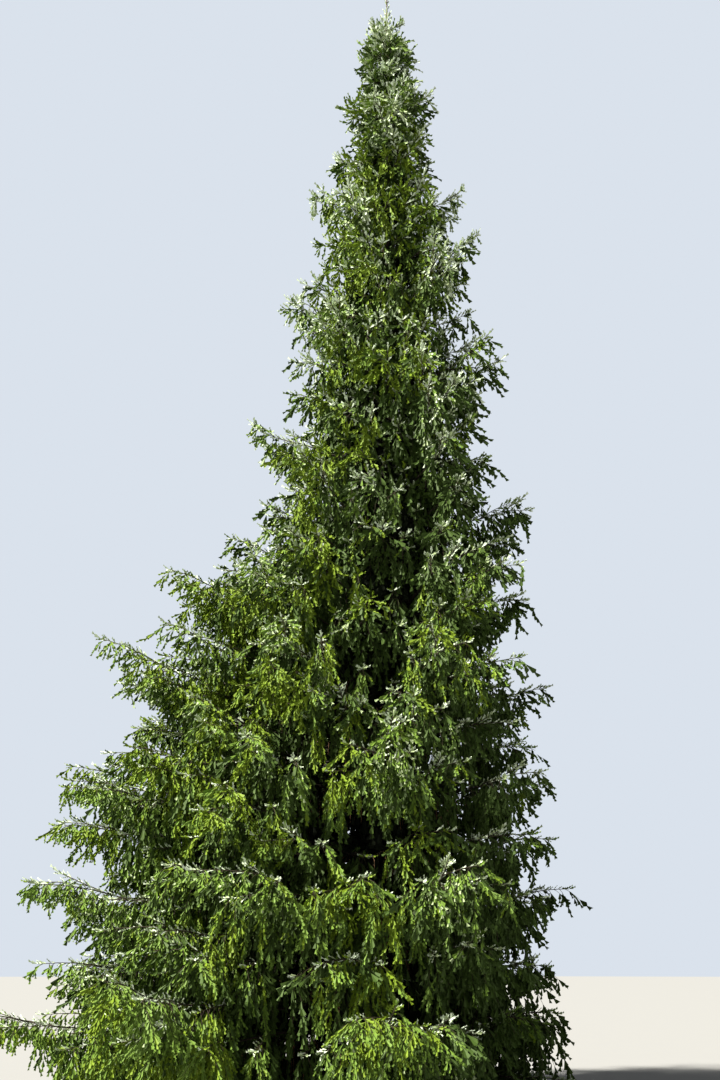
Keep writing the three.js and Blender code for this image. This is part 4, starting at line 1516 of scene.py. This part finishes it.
class SPRUCE_OT_stage(bpy.types.Operator):
    """Pale floor, soft light and the camera at the photograph's angle"""

    bl_idname = "spruce.stage"
    bl_label = "Stage"

    def execute(self, context):
        scene = context.scene
        self.lay_floor(tuple(scene.spruce_colours.floor))
        scene.world = self.soft_world()
        self.hang_key()
        scene.camera = self.set_camera()
        scene.view_settings.view_transform = "Standard"
        return {"FINISHED"}

    def lay_floor(self, colour):
        angle = TURN * np.arange(FLOOR_SIDES) / FLOOR_SIDES
        rings = np.outer(FLOOR_RINGS, np.ones(FLOOR_SIDES))
        flat = np.stack([rings * np.cos(angle), rings * np.sin(angle), 0 * rings], axis=-1)
        points = np.vstack([flat.reshape(-1, 3), [0, 0, 0]]) - FLOOR_DEPTH * UP
        i = np.arange(FLOOR_SIDES)
        middle = np.stack([0 * i + len(points) - 1, i, (i + 1) % FLOOR_SIDES], 1)
        first = np.arange(len(FLOOR_RINGS) - 1)[:, None] * FLOOR_SIDES
        finish = Finish("pale floor")
        darker = tuple(FLOOR_DARKER * c for c in colour)
        base = finish.blend(finish.noise(*FLOOR_PATCH) * 0.5, colour, darker)
        finish.wear(Base_Color=base, Roughness=FLOOR_ROUGHNESS)
        faces = np.vstack([middle, ring_faces(first, FLOOR_SIDES)])
        mesh_piece("floor", points, faces, finish.material, False)

    def soft_world(self):
        """Soft light all round, with a plain backdrop where the camera looks past the tree."""
        world = bpy.data.worlds.new("soft studio")
        world.use_nodes = True
        sky = world.node_tree
        fill = sky.nodes["Background"]
        feed(sky, fill.inputs["Color"], FILL_COLOUR)
        feed(sky, fill.inputs["Strength"], FILL_STRENGTH)
        seen = add_node(sky, "ShaderNodeBackground", {}, {"Color": BACKDROP_COLOUR})
        ray = add_node(sky, "ShaderNodeLightPath", {}, {}).outputs["Is Camera Ray"]
        shaders = {0: ray, 1: fill.outputs[0], 2: seen.outputs[0]}
        both = add_node(sky, "ShaderNodeMixShader", {}, shaders)
        feed(sky, sky.nodes["World Output"].inputs["Surface"], both.outputs[0])
        return world

    def hang_key(self):
        key = bpy.data.lights.new("key", "SUN")
        key.energy = KEY_STRENGTH
        key.angle = KEY_WIDTH
        key.color = KEY_COLOUR
        lamp = stand("key", key)
        lamp.rotation_euler = Vector(KEY_FROM).to_track_quat("Z", "Y").to_euler()
        lamp.location = Vector(KEY_FROM) * KEY_AWAY

    def set_camera(self):
        view = bpy.data.cameras.new("camera")
        view.lens = CAMERA_LENS
        view.sensor_width = CAMERA_FILM
        view.clip_end = CAMERA_SEES
        camera = stand("camera", view)
        camera.location = CAMERA_PLACE
        camera.rotation_euler = (math.pi / 2 + CAMERA_TILT, 0, 0)
        return camera


class SPRUCE_PT_panel(bpy.types.Panel):
    """The pieces of the spruce, and the sizes and colours that they are made with"""

    bl_idname = "SPRUCE_PT_panel"
    bl_label = "Serbian spruce"
    bl_space_type = "VIEW_3D"
    bl_region_type = "UI"
    bl_category = "Spruce"

    def draw(self, context):
        for operator in OPERATORS:
            self.layout.operator(operator.bl_idname)
        for group in (context.scene.spruce_shape, context.scene.spruce_colours):
            column = self.layout.column(align=True)
            for name in type(group).__annotations__:
                column.prop(group, name)


OPERATORS = (
    SPRUCE_OT_trunk,
    SPRUCE_OT_boughs,
    SPRUCE_OT_twigs,
    SPRUCE_OT_needles,
    SPRUCE_OT_stage,
)
CLASSES = (SpruceShape, SpruceColours, *OPERATORS, SPRUCE_PT_panel)


def register():
    for made in CLASSES:
        bpy.utils.register_class(made)
    bpy.types.Scene.spruce_shape = bpy.props.PointerProperty(type=SpruceShape)
    bpy.types.Scene.spruce_colours = bpy.props.PointerProperty(type=SpruceColours)


def unregister():
    del bpy.types.Scene.spruce_colours
    del bpy.types.Scene.spruce_shape
    for made in reversed(CLASSES):
        bpy.utils.unregister_class(made)


def main():
    register()
    for name in ("trunk", "boughs", "twigs", "needles", "stage"):
        getattr(bpy.ops.spruce, name)()
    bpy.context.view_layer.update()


if __name__ == "__main__":
    main()
